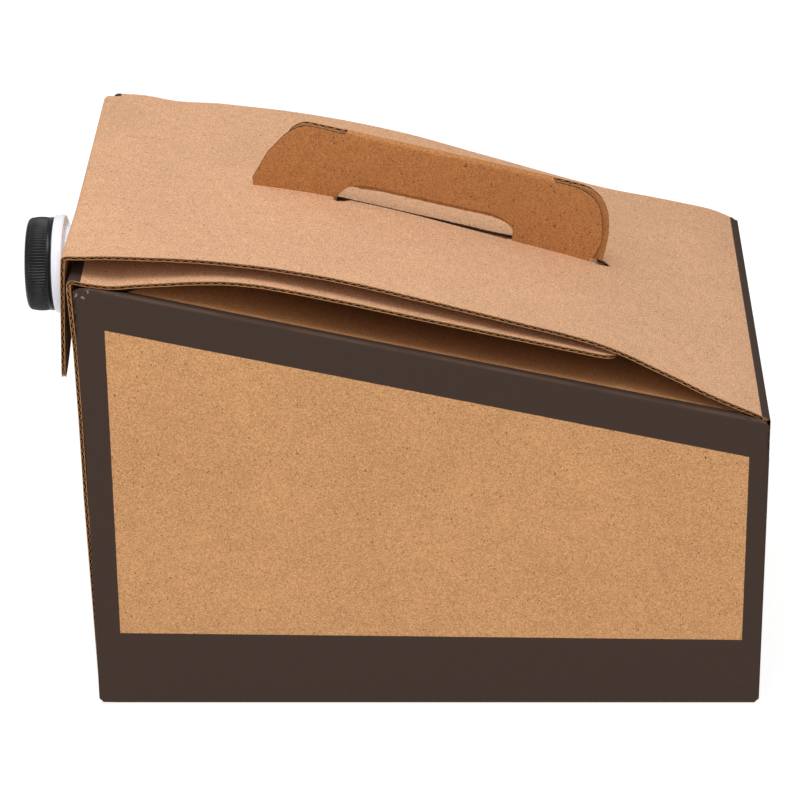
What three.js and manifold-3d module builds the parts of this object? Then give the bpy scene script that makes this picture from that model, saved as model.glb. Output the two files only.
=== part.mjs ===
// A coffee carrier box: a folded corrugated carton with a hinged lid and a pop-up
// handle, holding a film bag that pours through a spout with a screw cap.
// Millimetres, +Z up, +X from the spout end to the lid's hinge.
// The origin is the centre of the underside.

import * as THREE from 'three';
import { mergeVertices } from 'three/addons/utils/BufferGeometryUtils.js';
import Module from 'manifold-3d';

const wasm = await Module();
wasm.setup();

// Driving dimensions of the carton
const LENGTH = 270;
const WIDTH = 195;
const HEIGHT_FRONT = 190;
const HEIGHT_BACK = 130;
const BOARD = 1.6;
const FOLD_RADIUS = 2.2;
const CLEARANCE = 0.3;
const WALL_LEAN = 2;
const GLUE_FLAP = 60;
const GLUE_FLAP_DROP = 14;
const DUST_FLAP = 52;
const DUST_FLAP_END = 14;
const DUST_FLAP_TAPER = 34;
const DUST_RISE_NEAR = 6;
const DUST_RISE_FAR = -9;

// Driving dimensions of the lid and its front flap
const LID_NEAR_INSET = 2.5;
const LID_FAR_INSET = 3.5;
const LID_NEAR_TAPER = 4;
const LID_FAR_TAPER = 7;
const LID_OVERHANG = 2.9;
const FRONT_FLAP = 51;
const FRONT_FLAP_SPLAY = 5.4;
const FRONT_FLAP_CURL = 0.8;
const NOTCH_CLEARANCE = 1;

// Driving dimensions of the pop-up handle
const HANDLE_LENGTH = 147;
const HANDLE_RISE = 32;
const HANDLE_CORNER = 24;
const HANDLE_Y = -4.5;
const HANDLE_X = -2;
const HANDLE_LIFT = 0.9;
const HANDLE_FOOT = 4;
const HANDLE_FOOT_INSET = 2;
const HANDLE_SHOULDER = 9.6;
const HANDLE_SHOULDER_DROP = 7.2;
const HANDLE_RIDGE_START = 33.6;
const HANDLE_RIDGE_END = 26.4;
const HANDLE_BACK_INSET = 20;
const HANDLE_HOLE_LENGTH = 73;
const HANDLE_HOLE_TOP = 10.4;
const HANDLE_HOLE_FOOT = 4;
const OPENING_MARGIN = 1;
const OPENING_CORNER = 8;
const PLY_GAP = 0.4;

// Driving dimensions of the spout and its cap
const SPOUT_DROP = 36.3;
const NECK_RADIUS = 16.2;
const BORE_RADIUS = 13.8;
const NECK_REACH = 25.6;
const RING_RADIUS = 20.4;
const RING_START = 13;
const RING_WIDTH = 4.7;
const FLANGE_RADIUS = 24;
const FLANGE_THICK = 3;
const THREAD_PITCH = 4.2;
const THREAD_DEPTH = 1.1;
const THREAD_BASE = 1.9;
const THREAD_CREST = 0.7;
const THREAD_TURNS = 1.25;
const THREAD_CLEARANCE = 0.3;
const THREAD_EMBED = 0.2;
const THREAD_STEPS = 24;
const CAP_RADIUS = 19.45;
const CAP_TOP = 1.6;
const CAP_CHAMFER = 1;
const CAP_RIBS = 60;
const CAP_RIB_DEPTH = 0.45;
const CAP_RING_GAP = 0.4;
const LINER_THICK = 1;

// Driving dimensions of the bag
const BAG_FILM = 0.5;
const BAG_GAP = 1;
const BAG_CORNER = 26;
const BAG_CORNER_STEPS = 8;

// Heights above the sloping fold line, as [share of the length from the spout end,
// share of the lid's bulge]
const LID_BULGE = 22.8;
const LID_NEAR = [
  [0, 0.412], [0.036, 0.518], [0.087, 0.64], [0.168, 0.811], [0.277, 0.956], [0.377, 1],
  [0.505, 0.952], [0.63, 0.886], [0.755, 0.785], [0.859, 0.456], [0.915, 0.246], [0.96, 0.118],
  [1, 0],
];
const LID_FAR = [
  [0, 0.105], [0.05, 0.202], [0.09, 0.219], [0.17, 0.36], [0.3, 0.491], [0.45, 0.491],
  [0.6, 0.333], [0.777, 0.149], [0.9, 0.14], [0.96, 0.114], [1, 0],
];
const INNER_NEAR = [
  [0, 0.035], [0.05, 0.088], [0.085, 0.211], [0.126, 0.346], [0.181, 0.518], [0.24, 0.645],
  [0.33, 0.684], [0.5, 0.658], [0.778, 0.627],
];
const INNER_FAR = [
  [0, 0.009], [0.05, 0.092], [0.09, 0.101], [0.17, 0.254], [0.3, 0.386], [0.45, 0.386],
  [0.6, 0.228], [0.778, 0.035],
];
const INNER_END = 0.778;
const INNER_NEAR_INSET = 1.9;
const INNER_FAR_TAPER = 7;

// How the bag's ends round off: [distance from the end, how far it draws in], in corner radii
const BAG_ENDS = [[0, 0.38], [0.19, 0.12], [0.54, 0]];

// Places that follow from the sizes
const HALF_LENGTH = LENGTH / 2;
const HALF_WIDTH = WIDTH / 2;
const FOLD_SLOPE = (HEIGHT_FRONT - HEIGHT_BACK) / LENGTH;
const HINGE_X = HALF_LENGTH - BOARD / 2;
const HINGE_Z = HEIGHT_BACK - BOARD / 2;
const BACK_WALL_TOP = HINGE_Z - BOARD / 2 - CLEARANCE;
const WALL_X = -HALF_LENGTH - WALL_LEAN;
const SPOUT_HEIGHT = HEIGHT_FRONT - SPOUT_DROP;
const SIDE_END = HALF_LENGTH - BOARD;
const TOP_FOLD_END = SIDE_END - DUST_FLAP_END;
const SPOUT_FACE_X = -HALF_LENGTH - WALL_LEAN * SPOUT_HEIGHT / HEIGHT_FRONT;
const BEND_STEPS = 5;
const ROWS = 6;

const mix = (a, b, share) => a + (b - a) * share;
const foldHeight = (x) => HEIGHT_FRONT - FOLD_SLOPE * (x + HALF_LENGTH);
const shareAt = (x) => (x + HALF_LENGTH) / LENGTH;

// A smooth curve through the points of one table, in millimetres
function smooth(points) {
  const places = points.map((point) => point[0]);
  const heights = points.map((point) => point[1] * LID_BULGE);
  const curve = new THREE.CubicInterpolant(places, heights, 1);
  return (share) => curve.evaluate(THREE.MathUtils.clamp(share, places[0], places.at(-1)))[0];
}

const lidNear = smooth(LID_NEAR);
const lidFar = smooth(LID_FAR);
const innerNear = smooth(INNER_NEAR);
const innerFar = smooth(INNER_FAR);

// The outer face of the lid and of the inner flap, at x and a share of the way across
const lidTop = (x, across) => foldHeight(x) + mix(lidNear(shareAt(x)), lidFar(shareAt(x)), across);
const innerTop = (x, across) => foldHeight(x) + mix(innerNear(shareAt(x)), innerFar(shareAt(x)), across);

function lidY(x, across) {
  const reach = 1 - shareAt(x);
  const near = -HALF_WIDTH + LID_NEAR_INSET + LID_NEAR_TAPER * reach;
  const far = HALF_WIDTH - LID_FAR_INSET - LID_FAR_TAPER * reach;
  return mix(near, far, across);
}

function innerY(x, across) {
  const near = -HALF_WIDTH + INNER_NEAR_INSET;
  const far = HALF_WIDTH - INNER_NEAR_INSET - INNER_FAR_TAPER * shareAt(x);
  return mix(near, far, across);
}

// The handle stands on a line that joins two places on the lid, just above its surface
const lidOnHandle = (x) => lidTop(x, (HANDLE_Y - lidY(x, 0)) / (lidY(x, 1) - lidY(x, 0)));
const HANDLE_ENDS = [-1, 1].map((side) => lidOnHandle(HANDLE_X + side * HANDLE_LENGTH / 2));
const HANDLE_PITCH = Math.atan2(HANDLE_ENDS[1] - HANDLE_ENDS[0], HANDLE_LENGTH);
const HANDLE_BASE_Z = (HANDLE_ENDS[0] + HANDLE_ENDS[1]) / 2 + HANDLE_LIFT;

// A geometry as a solid, turned right side out if need be
function solidOf(positions, triangles) {
  let volume = 0;
  const corner = (index) => new THREE.Vector3().fromArray(positions, index * 3);
  for (let i = 0; i < triangles.length; i += 3) {
    const [a, b, c] = [0, 1, 2].map((step) => corner(triangles[i + step]));
    volume += a.dot(b.cross(c));
  }
  if (volume < 0) triangles.reverse();
  return new wasm.Manifold(new wasm.Mesh({
    numProp: 3,
    vertProperties: new Float32Array(positions),
    triVerts: new Uint32Array(triangles),
  }));
}

function solidFrom(geometry) {
  const bare = geometry.clone();
  bare.deleteAttribute('normal');
  bare.deleteAttribute('uv');
  const merged = mergeVertices(bare, 1e-4);
  return solidOf(Array.from(merged.attributes.position.array), Array.from(merged.index.array));
}

function geometryFrom(solid) {
  const mesh = solid.getMesh();
  const geometry = new THREE.BufferGeometry();
  geometry.setAttribute('position', new THREE.BufferAttribute(mesh.vertProperties.slice(), 3));
  geometry.setIndex(new THREE.BufferAttribute(mesh.triVerts.slice(), 1));
  geometry.computeVertexNormals();
  return geometry;
}

// A line through [a, b, c, radius] corners, with an arc wherever the radius isn't zero
function bentLine(corners) {
  const line = [];
  corners.forEach((corner, index) => {
    const [a, b, c, radius] = corner;
    if (!radius) {
      line.push([a, b, c]);
      return;
    }
    const here = new THREE.Vector2(a, b);
    const before = new THREE.Vector2(corners[index - 1][0], corners[index - 1][1]).sub(here).normalize();
    const after = new THREE.Vector2(corners[index + 1][0], corners[index + 1][1]).sub(here).normalize();
    const half = Math.acos(THREE.MathUtils.clamp(before.dot(after), -1, 1)) / 2;
    const reach = radius / Math.tan(half);
    const centre = before.clone().add(after).normalize().multiplyScalar(radius / Math.sin(half)).add(here);
    const start = before.multiplyScalar(reach).add(here).sub(centre);
    const end = after.multiplyScalar(reach).add(here).sub(centre);
    const turn = Math.atan2(start.cross(end), start.dot(end));
    for (let step = 0; step <= BEND_STEPS; step += 1) {
      const point = start.clone().rotateAround(new THREE.Vector2(), turn * step / BEND_STEPS).add(centre);
      line.push([point.x, point.y, c]);
    }
  });
  return line;
}

// The same line moved to its left by a distance
function offsetLine(line, distance) {
  const direction = (from, to) => new THREE.Vector2(to[0] - from[0], to[1] - from[1]).normalize();
  return line.map((point, index) => {
    const last = line.length - 1;
    const before = direction(line[Math.max(index - 1, 0)], line[Math.max(index, 1)]);
    const after = direction(line[Math.min(index, last - 1)], line[Math.min(index + 1, last)]);
    const scale = distance / (1 + before.dot(after));
    return [point[0] - (before.y + after.y) * scale, point[1] + (before.x + after.x) * scale, point[2]];
  });
}

// A board of even thickness: each row is a line on its outer face
function boardSolid(rows, place, thickness = BOARD) {
  const count = rows[0].length;
  const positions = [];
  rows.forEach((row) => {
    const inner = offsetLine(row, thickness);
    row.forEach((point, index) => positions.push(...place(...point), ...place(...inner[index])));
  });
  const triangles = [];
  const quad = (a, b, c, d) => triangles.push(a, b, c, a, c, d);
  const vertex = (row, index, side) => (row * count + index) * 2 + side;
  for (let row = 0; row < rows.length - 1; row += 1) {
    for (let i = 0; i < count - 1; i += 1) {
      quad(vertex(row, i, 0), vertex(row, i + 1, 0), vertex(row + 1, i + 1, 0), vertex(row + 1, i, 0));
      quad(vertex(row, i, 1), vertex(row + 1, i, 1), vertex(row + 1, i + 1, 1), vertex(row, i + 1, 1));
    }
    quad(vertex(row, 0, 0), vertex(row + 1, 0, 0), vertex(row + 1, 0, 1), vertex(row, 0, 1));
    quad(vertex(row, count - 1, 0), vertex(row, count - 1, 1), vertex(row + 1, count - 1, 1),
      vertex(row + 1, count - 1, 0));
  }
  for (let i = 0; i < count - 1; i += 1) {
    const end = rows.length - 1;
    quad(vertex(0, i, 0), vertex(0, i, 1), vertex(0, i + 1, 1), vertex(0, i + 1, 0));
    quad(vertex(end, i, 0), vertex(end, i + 1, 0), vertex(end, i + 1, 1), vertex(end, i, 1));
  }
  return solidOf(positions, triangles);
}

const acrossShares = Array.from({ length: ROWS }, (_, row) => row / (ROWS - 1));

// A plate whose outline is drawn in x and z, between two y places
function uprightPlate(shape, yLow, yHigh, curveSegments = 6) {
  const settings = { depth: yHigh - yLow, bevelEnabled: false, curveSegments };
  const geometry = new THREE.ExtrudeGeometry(shape, settings);
  geometry.rotateX(Math.PI / 2);
  geometry.translate(0, yHigh, 0);
  return solidFrom(geometry);
}

// A prism whose outline is drawn in x and y, between two heights
function standingPrism(shape, zLow, zHigh, curveSegments = 6) {
  const settings = { depth: zHigh - zLow, bevelEnabled: false, curveSegments };
  const geometry = new THREE.ExtrudeGeometry(shape, settings);
  geometry.translate(0, 0, zLow);
  return solidFrom(geometry);
}

// A turned shape on the spout's axis: [radius, distance out from the carton's face]
function spoutTurning(profile, segments = 40) {
  const geometry = new THREE.LatheGeometry(profile.map(([r, out]) => new THREE.Vector2(r, out)), segments);
  geometry.rotateZ(Math.PI / 2);
  geometry.translate(SPOUT_FACE_X, 0, SPOUT_HEIGHT);
  return solidFrom(geometry);
}

// A tube on the spout's axis, as a closed profile
const ringProfile = (inner, outer, start, end) => [
  [inner, start], [outer, start], [outer, end], [inner, end], [inner, start],
];

// A helical ridge on the spout's axis, from its root radius to its crest radius
function threadRidge(root, crest, start, phase) {
  const steps = Math.round(THREAD_TURNS * THREAD_STEPS);
  const positions = [];
  for (let step = 0; step <= steps; step += 1) {
    const angle = phase + step / THREAD_STEPS * Math.PI * 2;
    const out = start + step / THREAD_STEPS * THREAD_PITCH;
    const corners = [
      [root, -THREAD_BASE / 2], [crest, -THREAD_CREST / 2], [crest, THREAD_CREST / 2], [root, THREAD_BASE / 2],
    ];
    corners.forEach(([radius, shift]) => {
      positions.push(
        SPOUT_FACE_X - out - shift,
        radius * Math.cos(angle),
        SPOUT_HEIGHT - radius * Math.sin(angle),
      );
    });
  }
  const triangles = [];
  const quad = (a, b, c, d) => triangles.push(a, b, c, a, c, d);
  for (let step = 0; step < steps; step += 1) {
    for (let i = 0; i < 4; i += 1) {
      const next = (i + 1) % 4;
      quad(step * 4 + i, step * 4 + next, (step + 1) * 4 + next, (step + 1) * 4 + i);
    }
  }
  quad(0, 3, 2, 1);
  quad(steps * 4, steps * 4 + 1, steps * 4 + 2, steps * 4 + 3);
  return solidOf(positions, triangles);
}

// The strip of the blank that makes the inner flap, spout wall, bottom and back wall
function wrapStrip() {
  const stations = 11;
  const flapEnd = -HALF_LENGTH + INNER_END * LENGTH;
  const flapX = (index) => mix(flapEnd, WALL_X + FOLD_RADIUS * 2, index / (stations - 1));
  const rows = acrossShares.map((across) => {
    const corners = [];
    for (let i = 0; i < stations; i += 1) {
      const x = flapX(i);
      corners.push([x, innerTop(x, across), innerY(x, across)]);
    }
    const wallY = mix(-HALF_WIDTH, HALF_WIDTH, across);
    const bottomY = mix(-HALF_WIDTH + FOLD_RADIUS, HALF_WIDTH - FOLD_RADIUS, across);
    const cornerTop = foldHeight(-HALF_LENGTH) + mix(innerNear(0), innerFar(0), across);
    corners.push([WALL_X, cornerTop, innerY(WALL_X, across), FOLD_RADIUS]);
    corners.push([WALL_X + WALL_LEAN * FOLD_RADIUS * 2 / HEIGHT_FRONT, cornerTop - FOLD_RADIUS * 2, wallY]);
    corners.push([-HALF_LENGTH, 0, bottomY, FOLD_RADIUS]);
    corners.push([HALF_LENGTH, 0, bottomY, FOLD_RADIUS]);
    corners.push([HALF_LENGTH, FOLD_RADIUS * 2, wallY]);
    corners.push([HALF_LENGTH, BACK_WALL_TOP, wallY]);
    return bentLine(corners);
  });
  return boardSolid(rows, (x, z, y) => [x, y, z]);
}

// One long side with its glue flaps, from above the bottom fold to below the top fold.
// Each point's third value is how far its top lies below the sloping fold line.
function sideWall(side) {
  const flapEnd = -HALF_WIDTH + GLUE_FLAP;
  const flapRoot = -HALF_WIDTH + FOLD_RADIUS + CLEARANCE;
  const line = bentLine([
    [-SIDE_END, flapEnd, GLUE_FLAP_DROP],
    [-SIDE_END, flapRoot, GLUE_FLAP_DROP],
    [-SIDE_END, -HALF_WIDTH, FOLD_RADIUS, FOLD_RADIUS],
    [TOP_FOLD_END, -HALF_WIDTH, FOLD_RADIUS],
    [TOP_FOLD_END + CLEARANCE, -HALF_WIDTH, CLEARANCE],
    [SIDE_END, -HALF_WIDTH, CLEARANCE, FOLD_RADIUS],
    [SIDE_END, flapRoot, GLUE_FLAP_DROP],
    [SIDE_END, flapEnd, GLUE_FLAP_DROP],
  ]);
  const rows = [
    line.map(([x, y]) => [x, y, FOLD_RADIUS]),
    line.map(([x, y, drop]) => [x, y, foldHeight(x) - drop]),
  ];
  return boardSolid(rows, (x, y, z) => [x, y * side, z]);
}

// How far the dust flap reaches in from the side, at x
function dustReach(x) {
  const fromSpout = x + SIDE_END - DUST_FLAP_END;
  const fromBack = TOP_FOLD_END - x;
  const share = THREE.MathUtils.clamp(Math.min(fromSpout, fromBack) / DUST_FLAP_TAPER, 0, 1);
  return mix(FOLD_RADIUS + BOARD, DUST_FLAP, share);
}

// The top fold of one side with its dust flap
function dustFlap(side, rise) {
  const start = SIDE_END - DUST_FLAP_END;
  const places = [
    FOLD_RADIUS - SIDE_END, -start, -start + DUST_FLAP_TAPER / 2, -start + DUST_FLAP_TAPER,
    -HALF_LENGTH / 4, HALF_LENGTH / 4, TOP_FOLD_END - DUST_FLAP_TAPER, TOP_FOLD_END - DUST_FLAP_TAPER / 2,
    TOP_FOLD_END,
  ];
  const rows = places.map((x) => {
    const fold = foldHeight(x);
    const reach = dustReach(x);
    const lift = rise * Math.sin(Math.PI * shareAt(x)) * reach / DUST_FLAP;
    return bentLine([
      [-HALF_WIDTH + reach, fold + lift, x],
      [-HALF_WIDTH, fold, x, FOLD_RADIUS],
      [-HALF_WIDTH, fold - FOLD_RADIUS * 2, x],
    ]);
  });
  return boardSolid(rows, (y, z, x) => [x, y * side, z]);
}

// The rounded fold between one side and the bottom
function bottomFold(side) {
  const end = SIDE_END - FOLD_RADIUS;
  const rows = [-end, end].map((x) => bentLine([
    [-HALF_WIDTH, FOLD_RADIUS * 2, x],
    [-HALF_WIDTH, 0, x, FOLD_RADIUS],
    [-HALF_WIDTH + FOLD_RADIUS * 3, 0, x],
  ]));
  return boardSolid(rows, (y, z, x) => [x, y * side, z]);
}

function cartonBody() {
  let body = wrapStrip();
  [[-1, DUST_RISE_FAR], [1, DUST_RISE_NEAR]].forEach(([side, rise]) => {
    body = body.add(sideWall(side)).add(dustFlap(side, rise)).add(bottomFold(side));
  });
  const neckHole = spoutTurning(ringHole(NECK_RADIUS + CLEARANCE * 2));
  return body.subtract(neckHole);
}

// A plug on the spout's axis that reaches through the wall and the front flap
function ringHole(radius) {
  const reach = BOARD * 3 + LID_OVERHANG + FRONT_FLAP_SPLAY;
  return [[0, -reach], [radius, -reach], [radius, reach], [0, reach]];
}

// Points of the handle, drawn from its middle along its base and up
const handlePoint = (along, up) => new THREE.Vector2(
  HANDLE_X + along * Math.cos(HANDLE_PITCH) - up * Math.sin(HANDLE_PITCH),
  HANDLE_BASE_Z + along * Math.sin(HANDLE_PITCH) + up * Math.cos(HANDLE_PITCH),
);

// One ply of the handle, with its spout end drawn in by an inset
function handleShape(base, inset = 0) {
  const rise = HANDLE_RISE;
  const half = HANDLE_LENGTH / 2;
  const shoulder = Math.max(HANDLE_SHOULDER, inset);
  const corner = Math.max(HANDLE_CORNER / 2, inset);
  const shape = new THREE.Shape();
  const to = (method, ...pairs) => shape[method](...pairs.flatMap(([a, b]) => handlePoint(a, b).toArray()));
  to('moveTo', [-half + Math.max(HANDLE_FOOT_INSET, inset), base]);
  to('lineTo', [-half + inset, HANDLE_FOOT]);
  to('lineTo', [-half + shoulder, rise - HANDLE_SHOULDER_DROP]);
  to('quadraticCurveTo', [-half + corner, rise], [-half + HANDLE_CORNER, rise]);
  to('lineTo', [half - HANDLE_RIDGE_END, rise]);
  to('quadraticCurveTo', [half - HANDLE_FOOT_INSET, rise], [half, HANDLE_SHOULDER]);
  to('lineTo', [half - HANDLE_FOOT_INSET, base]);
  return shape;
}

function handleHoleShape() {
  const half = HANDLE_HOLE_LENGTH / 2;
  const shape = new THREE.Shape();
  const to = (method, ...pairs) => shape[method](...pairs.flatMap(([a, b]) => handlePoint(a, b).toArray()));
  to('moveTo', [-half, -BOARD * 2]);
  to('lineTo', [-half, HANDLE_HOLE_FOOT]);
  to('quadraticCurveTo', [-half, HANDLE_HOLE_TOP], [-half + HANDLE_HOLE_TOP, HANDLE_HOLE_TOP]);
  to('lineTo', [half - HANDLE_HOLE_TOP, HANDLE_HOLE_TOP]);
  to('quadraticCurveTo', [half, HANDLE_HOLE_TOP], [half, HANDLE_HOLE_FOOT]);
  to('lineTo', [half, -BOARD * 2]);
  return shape;
}

// The opening that the two plies of the handle leave in the lid
function handleOpening() {
  const half = HANDLE_LENGTH / 2 + OPENING_MARGIN;
  const backStart = -half + HANDLE_BACK_INSET;
  const start = HANDLE_Y + BOARD / 2;
  const waist = start + HANDLE_RISE;
  const end = start + HANDLE_RISE * 2;
  const shape = new THREE.Shape();
  const x = (along) => HANDLE_X + along * Math.cos(HANDLE_PITCH);
  shape.moveTo(x(-half), start);
  shape.lineTo(x(half), start);
  shape.quadraticCurveTo(x(half), waist, x(half - HANDLE_CORNER), waist);
  shape.quadraticCurveTo(x(half), waist, x(half), end - OPENING_CORNER);
  shape.quadraticCurveTo(x(half), end, x(half - OPENING_CORNER), end);
  shape.lineTo(x(backStart + OPENING_CORNER), end);
  shape.quadraticCurveTo(x(backStart), end, x(backStart), end - OPENING_CORNER);
  shape.quadraticCurveTo(x(backStart), waist, x(-half + HANDLE_CORNER), waist);
  shape.quadraticCurveTo(x(-half), waist, x(-half), start);
  return standingPrism(shape, HEIGHT_BACK, HEIGHT_FRONT + HANDLE_RISE, 5);
}

// The lid panel and its front flap as one bent sheet
function lidSheet() {
  const stations = 21;
  const frontX = WALL_X - LID_OVERHANG;
  const rows = acrossShares.map((across) => {
    const corners = [[HINGE_X, HINGE_Z + BOARD / 2, lidY(HINGE_X, across)]];
    for (let i = 1; i < stations; i += 1) {
      const x = mix(HINGE_X, frontX + FOLD_RADIUS * 2, i / (stations - 1));
      corners.push([x, lidTop(x, across), lidY(x, across)]);
    }
    const top = lidTop(-HALF_LENGTH, across) + FOLD_SLOPE * LID_OVERHANG / 2;
    corners.push([frontX, top, lidY(frontX, across), FOLD_RADIUS]);
    [0.35, 0.7, 1].forEach((share) => {
      const out = FRONT_FLAP_SPLAY * share ** FRONT_FLAP_CURL;
      corners.push([frontX - out, top - FRONT_FLAP * share, lidY(frontX, across)]);
    });
    return bentLine(corners);
  });
  return boardSolid(rows, (x, z, y) => [x, y, z]);
}

// The rolled edge of the lid that turns on the back wall
function hingeKnuckle() {
  const geometry = new THREE.CylinderGeometry(BOARD / 2, BOARD / 2, lidY(HINGE_X, 1) - lidY(HINGE_X, 0), 12);
  geometry.translate(HINGE_X, (lidY(HINGE_X, 1) + lidY(HINGE_X, 0)) / 2, HINGE_Z);
  return solidFrom(geometry);
}

// The notch of the front flap: round over the neck and open below
function neckNotch() {
  const radius = NECK_RADIUS + NOTCH_CLEARANCE;
  const drop = FRONT_FLAP;
  const geometry = new THREE.BoxGeometry(ringHole(radius)[2][1] * 2, radius * 2, drop);
  geometry.translate(SPOUT_FACE_X, 0, SPOUT_HEIGHT - drop / 2);
  return spoutTurning(ringHole(radius)).add(solidFrom(geometry));
}

function cartonLid() {
  const frontPly = uprightPlate(handleShape(-BOARD), HANDLE_Y - BOARD / 2, HANDLE_Y + BOARD / 2);
  const backLow = HANDLE_Y + BOARD / 2 + PLY_GAP;
  const backPly = uprightPlate(handleShape(CLEARANCE, HANDLE_BACK_INSET), backLow, backLow + BOARD);
  const ridgeShape = new THREE.Shape();
  const half = HANDLE_LENGTH / 2;
  [[-half + HANDLE_RIDGE_START, HANDLE_RISE - BOARD], [-half + HANDLE_RIDGE_START, HANDLE_RISE],
    [half - HANDLE_RIDGE_END, HANDLE_RISE], [half - HANDLE_RIDGE_END, HANDLE_RISE - BOARD],
  ].forEach(([along, up], index) => {
    const point = handlePoint(along, up).toArray();
    if (index === 0) ridgeShape.moveTo(...point);
    else ridgeShape.lineTo(...point);
  });
  const ridge = uprightPlate(ridgeShape, HANDLE_Y, backLow + BOARD / 2);
  const hole = uprightPlate(handleHoleShape(), HANDLE_Y - BOARD, backLow + BOARD * 2);
  const handle = frontPly.add(backPly).add(ridge).subtract(hole);
  return lidSheet().subtract(handleOpening()).add(handle).add(hingeKnuckle()).subtract(neckNotch());
}

// The threaded neck with its ring outside and its flange inside the wall
function spoutNeck() {
  const flangeOut = -BOARD - CLEARANCE - WALL_LEAN * FLANGE_RADIUS / HEIGHT_FRONT;
  const profile = [
    [BORE_RADIUS, flangeOut - FLANGE_THICK], [FLANGE_RADIUS, flangeOut - FLANGE_THICK],
    [FLANGE_RADIUS, flangeOut], [NECK_RADIUS, flangeOut], [NECK_RADIUS, RING_START],
    [RING_RADIUS, RING_START], [RING_RADIUS, RING_START + RING_WIDTH],
    [NECK_RADIUS, RING_START + RING_WIDTH], [NECK_RADIUS, NECK_REACH], [BORE_RADIUS, NECK_REACH],
    [BORE_RADIUS, flangeOut - FLANGE_THICK],
  ];
  const threadStart = NECK_REACH - THREAD_TURNS * THREAD_PITCH - THREAD_BASE;
  const thread = threadRidge(NECK_RADIUS - THREAD_EMBED, NECK_RADIUS + THREAD_DEPTH, threadStart, 0);
  return spoutTurning(profile).add(thread);
}

const CAP_START = RING_START + RING_WIDTH + CAP_RING_GAP;
const CAP_INSIDE = NECK_REACH + CLEARANCE * 2 + LINER_THICK;
const CAP_BORE = NECK_RADIUS + THREAD_DEPTH + THREAD_CLEARANCE;

// The ribbed cap with the thread inside its skirt
function screwCap() {
  const outline = new THREE.Shape();
  for (let rib = 0; rib < CAP_RIBS; rib += 1) {
    [0, 0.5].forEach((step) => {
      const angle = (rib + step) / CAP_RIBS * Math.PI * 2;
      const radius = step ? CAP_RADIUS - CAP_RIB_DEPTH : CAP_RADIUS;
      const point = [radius * Math.cos(angle), radius * Math.sin(angle)];
      if (rib === 0 && step === 0) outline.moveTo(...point);
      else outline.lineTo(...point);
    });
  }
  const length = CAP_INSIDE + CAP_TOP - CAP_START;
  const geometry = new THREE.ExtrudeGeometry(outline, { depth: length, bevelEnabled: false });
  geometry.rotateY(-Math.PI / 2);
  geometry.translate(SPOUT_FACE_X - CAP_START, 0, SPOUT_HEIGHT);
  const bore = spoutTurning([
    [0, CAP_START - CLEARANCE], [CAP_BORE, CAP_START - CLEARANCE], [CAP_BORE, CAP_INSIDE], [0, CAP_INSIDE],
  ]);
  const trim = spoutTurning([
    [0, CAP_START], [CAP_RADIUS + CAP_CHAMFER, CAP_START],
    [CAP_RADIUS + CAP_CHAMFER, CAP_INSIDE + CAP_TOP - CAP_CHAMFER],
    [CAP_RADIUS - CAP_CHAMFER, CAP_INSIDE + CAP_TOP], [0, CAP_INSIDE + CAP_TOP],
  ]);
  const threadStart = NECK_REACH - THREAD_TURNS * THREAD_PITCH - THREAD_BASE + THREAD_PITCH / 2;
  const thread = threadRidge(CAP_BORE + THREAD_EMBED, NECK_RADIUS + THREAD_CLEARANCE, threadStart, 0);
  return solidFrom(geometry).intersect(trim).subtract(bore).add(thread);
}

function capLiner() {
  const radius = NECK_RADIUS;
  const start = NECK_REACH + CLEARANCE;
  const end = start + LINER_THICK;
  return spoutTurning([[0, start], [radius, start], [radius, end], [0, end]], 32);
}

// The highest the bag may reach at x, under the lower of the two dust flaps
const bagCeiling = (x) => foldHeight(x) + Math.min(DUST_RISE_NEAR, DUST_RISE_FAR, 0) - BOARD - BAG_GAP;

// One cross-section of the bag at x, drawn in by a distance
function bagRing(x, shrink, inset) {
  const steps = BAG_CORNER_STEPS;
  const halfWide = HALF_WIDTH - BOARD - BAG_GAP - inset - shrink;
  const low = BOARD + BAG_GAP + inset + shrink;
  const high = bagCeiling(x) - inset - shrink;
  const radius = BAG_CORNER - inset;
  const points = [];
  [[1, 1, 0], [-1, 1, 1], [-1, -1, 2], [1, -1, 3]].forEach(([sideY, sideZ, quarter]) => {
    const centreY = sideY * (halfWide - radius);
    const centreZ = sideZ > 0 ? high - radius : low + radius;
    for (let step = 0; step <= steps; step += 1) {
      const angle = (quarter + step / steps) * Math.PI / 2;
      points.push([x, centreY + radius * Math.cos(angle), centreZ + radius * Math.sin(angle)]);
    }
  });
  return points;
}

// The bag's skin as a loft of cross-sections with flat ends
function bagShape(inset) {
  const frontX = CLEARANCE * 2 + BOARD - SIDE_END + inset;
  const backX = HALF_LENGTH - BOARD * 2 - BAG_GAP - inset;
  const ends = BAG_ENDS.map(([along, drawn]) => [along * BAG_CORNER, drawn * BAG_CORNER]);
  const sections = [
    ...ends.map(([along, shrink]) => bagRing(frontX + along, shrink, inset)),
    bagRing(0, 0, inset),
    ...ends.map(([along, shrink]) => bagRing(backX - along, shrink, inset)).reverse(),
  ];
  const count = sections[0].length;
  const positions = sections.flat(2);
  const triangles = [];
  for (let s = 0; s < sections.length - 1; s += 1) {
    for (let i = 0; i < count; i += 1) {
      const next = (i + 1) % count;
      const [a, b] = [s * count + i, s * count + next];
      triangles.push(a, b, b + count, a, b + count, a + count);
    }
  }
  const last = (sections.length - 1) * count;
  for (let i = 1; i < count - 1; i += 1) {
    triangles.push(0, i + 1, i);
    triangles.push(last, last + i, last + i + 1);
  }
  return solidOf(positions, triangles);
}

function innerBag() {
  const mouth = spoutTurning([
    [0, -BAG_CORNER], [BORE_RADIUS + CLEARANCE, -BAG_CORNER], [BORE_RADIUS + CLEARANCE, 0], [0, 0],
  ]);
  return bagShape(0).subtract(bagShape(BAG_FILM)).subtract(mouth);
}

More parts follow.
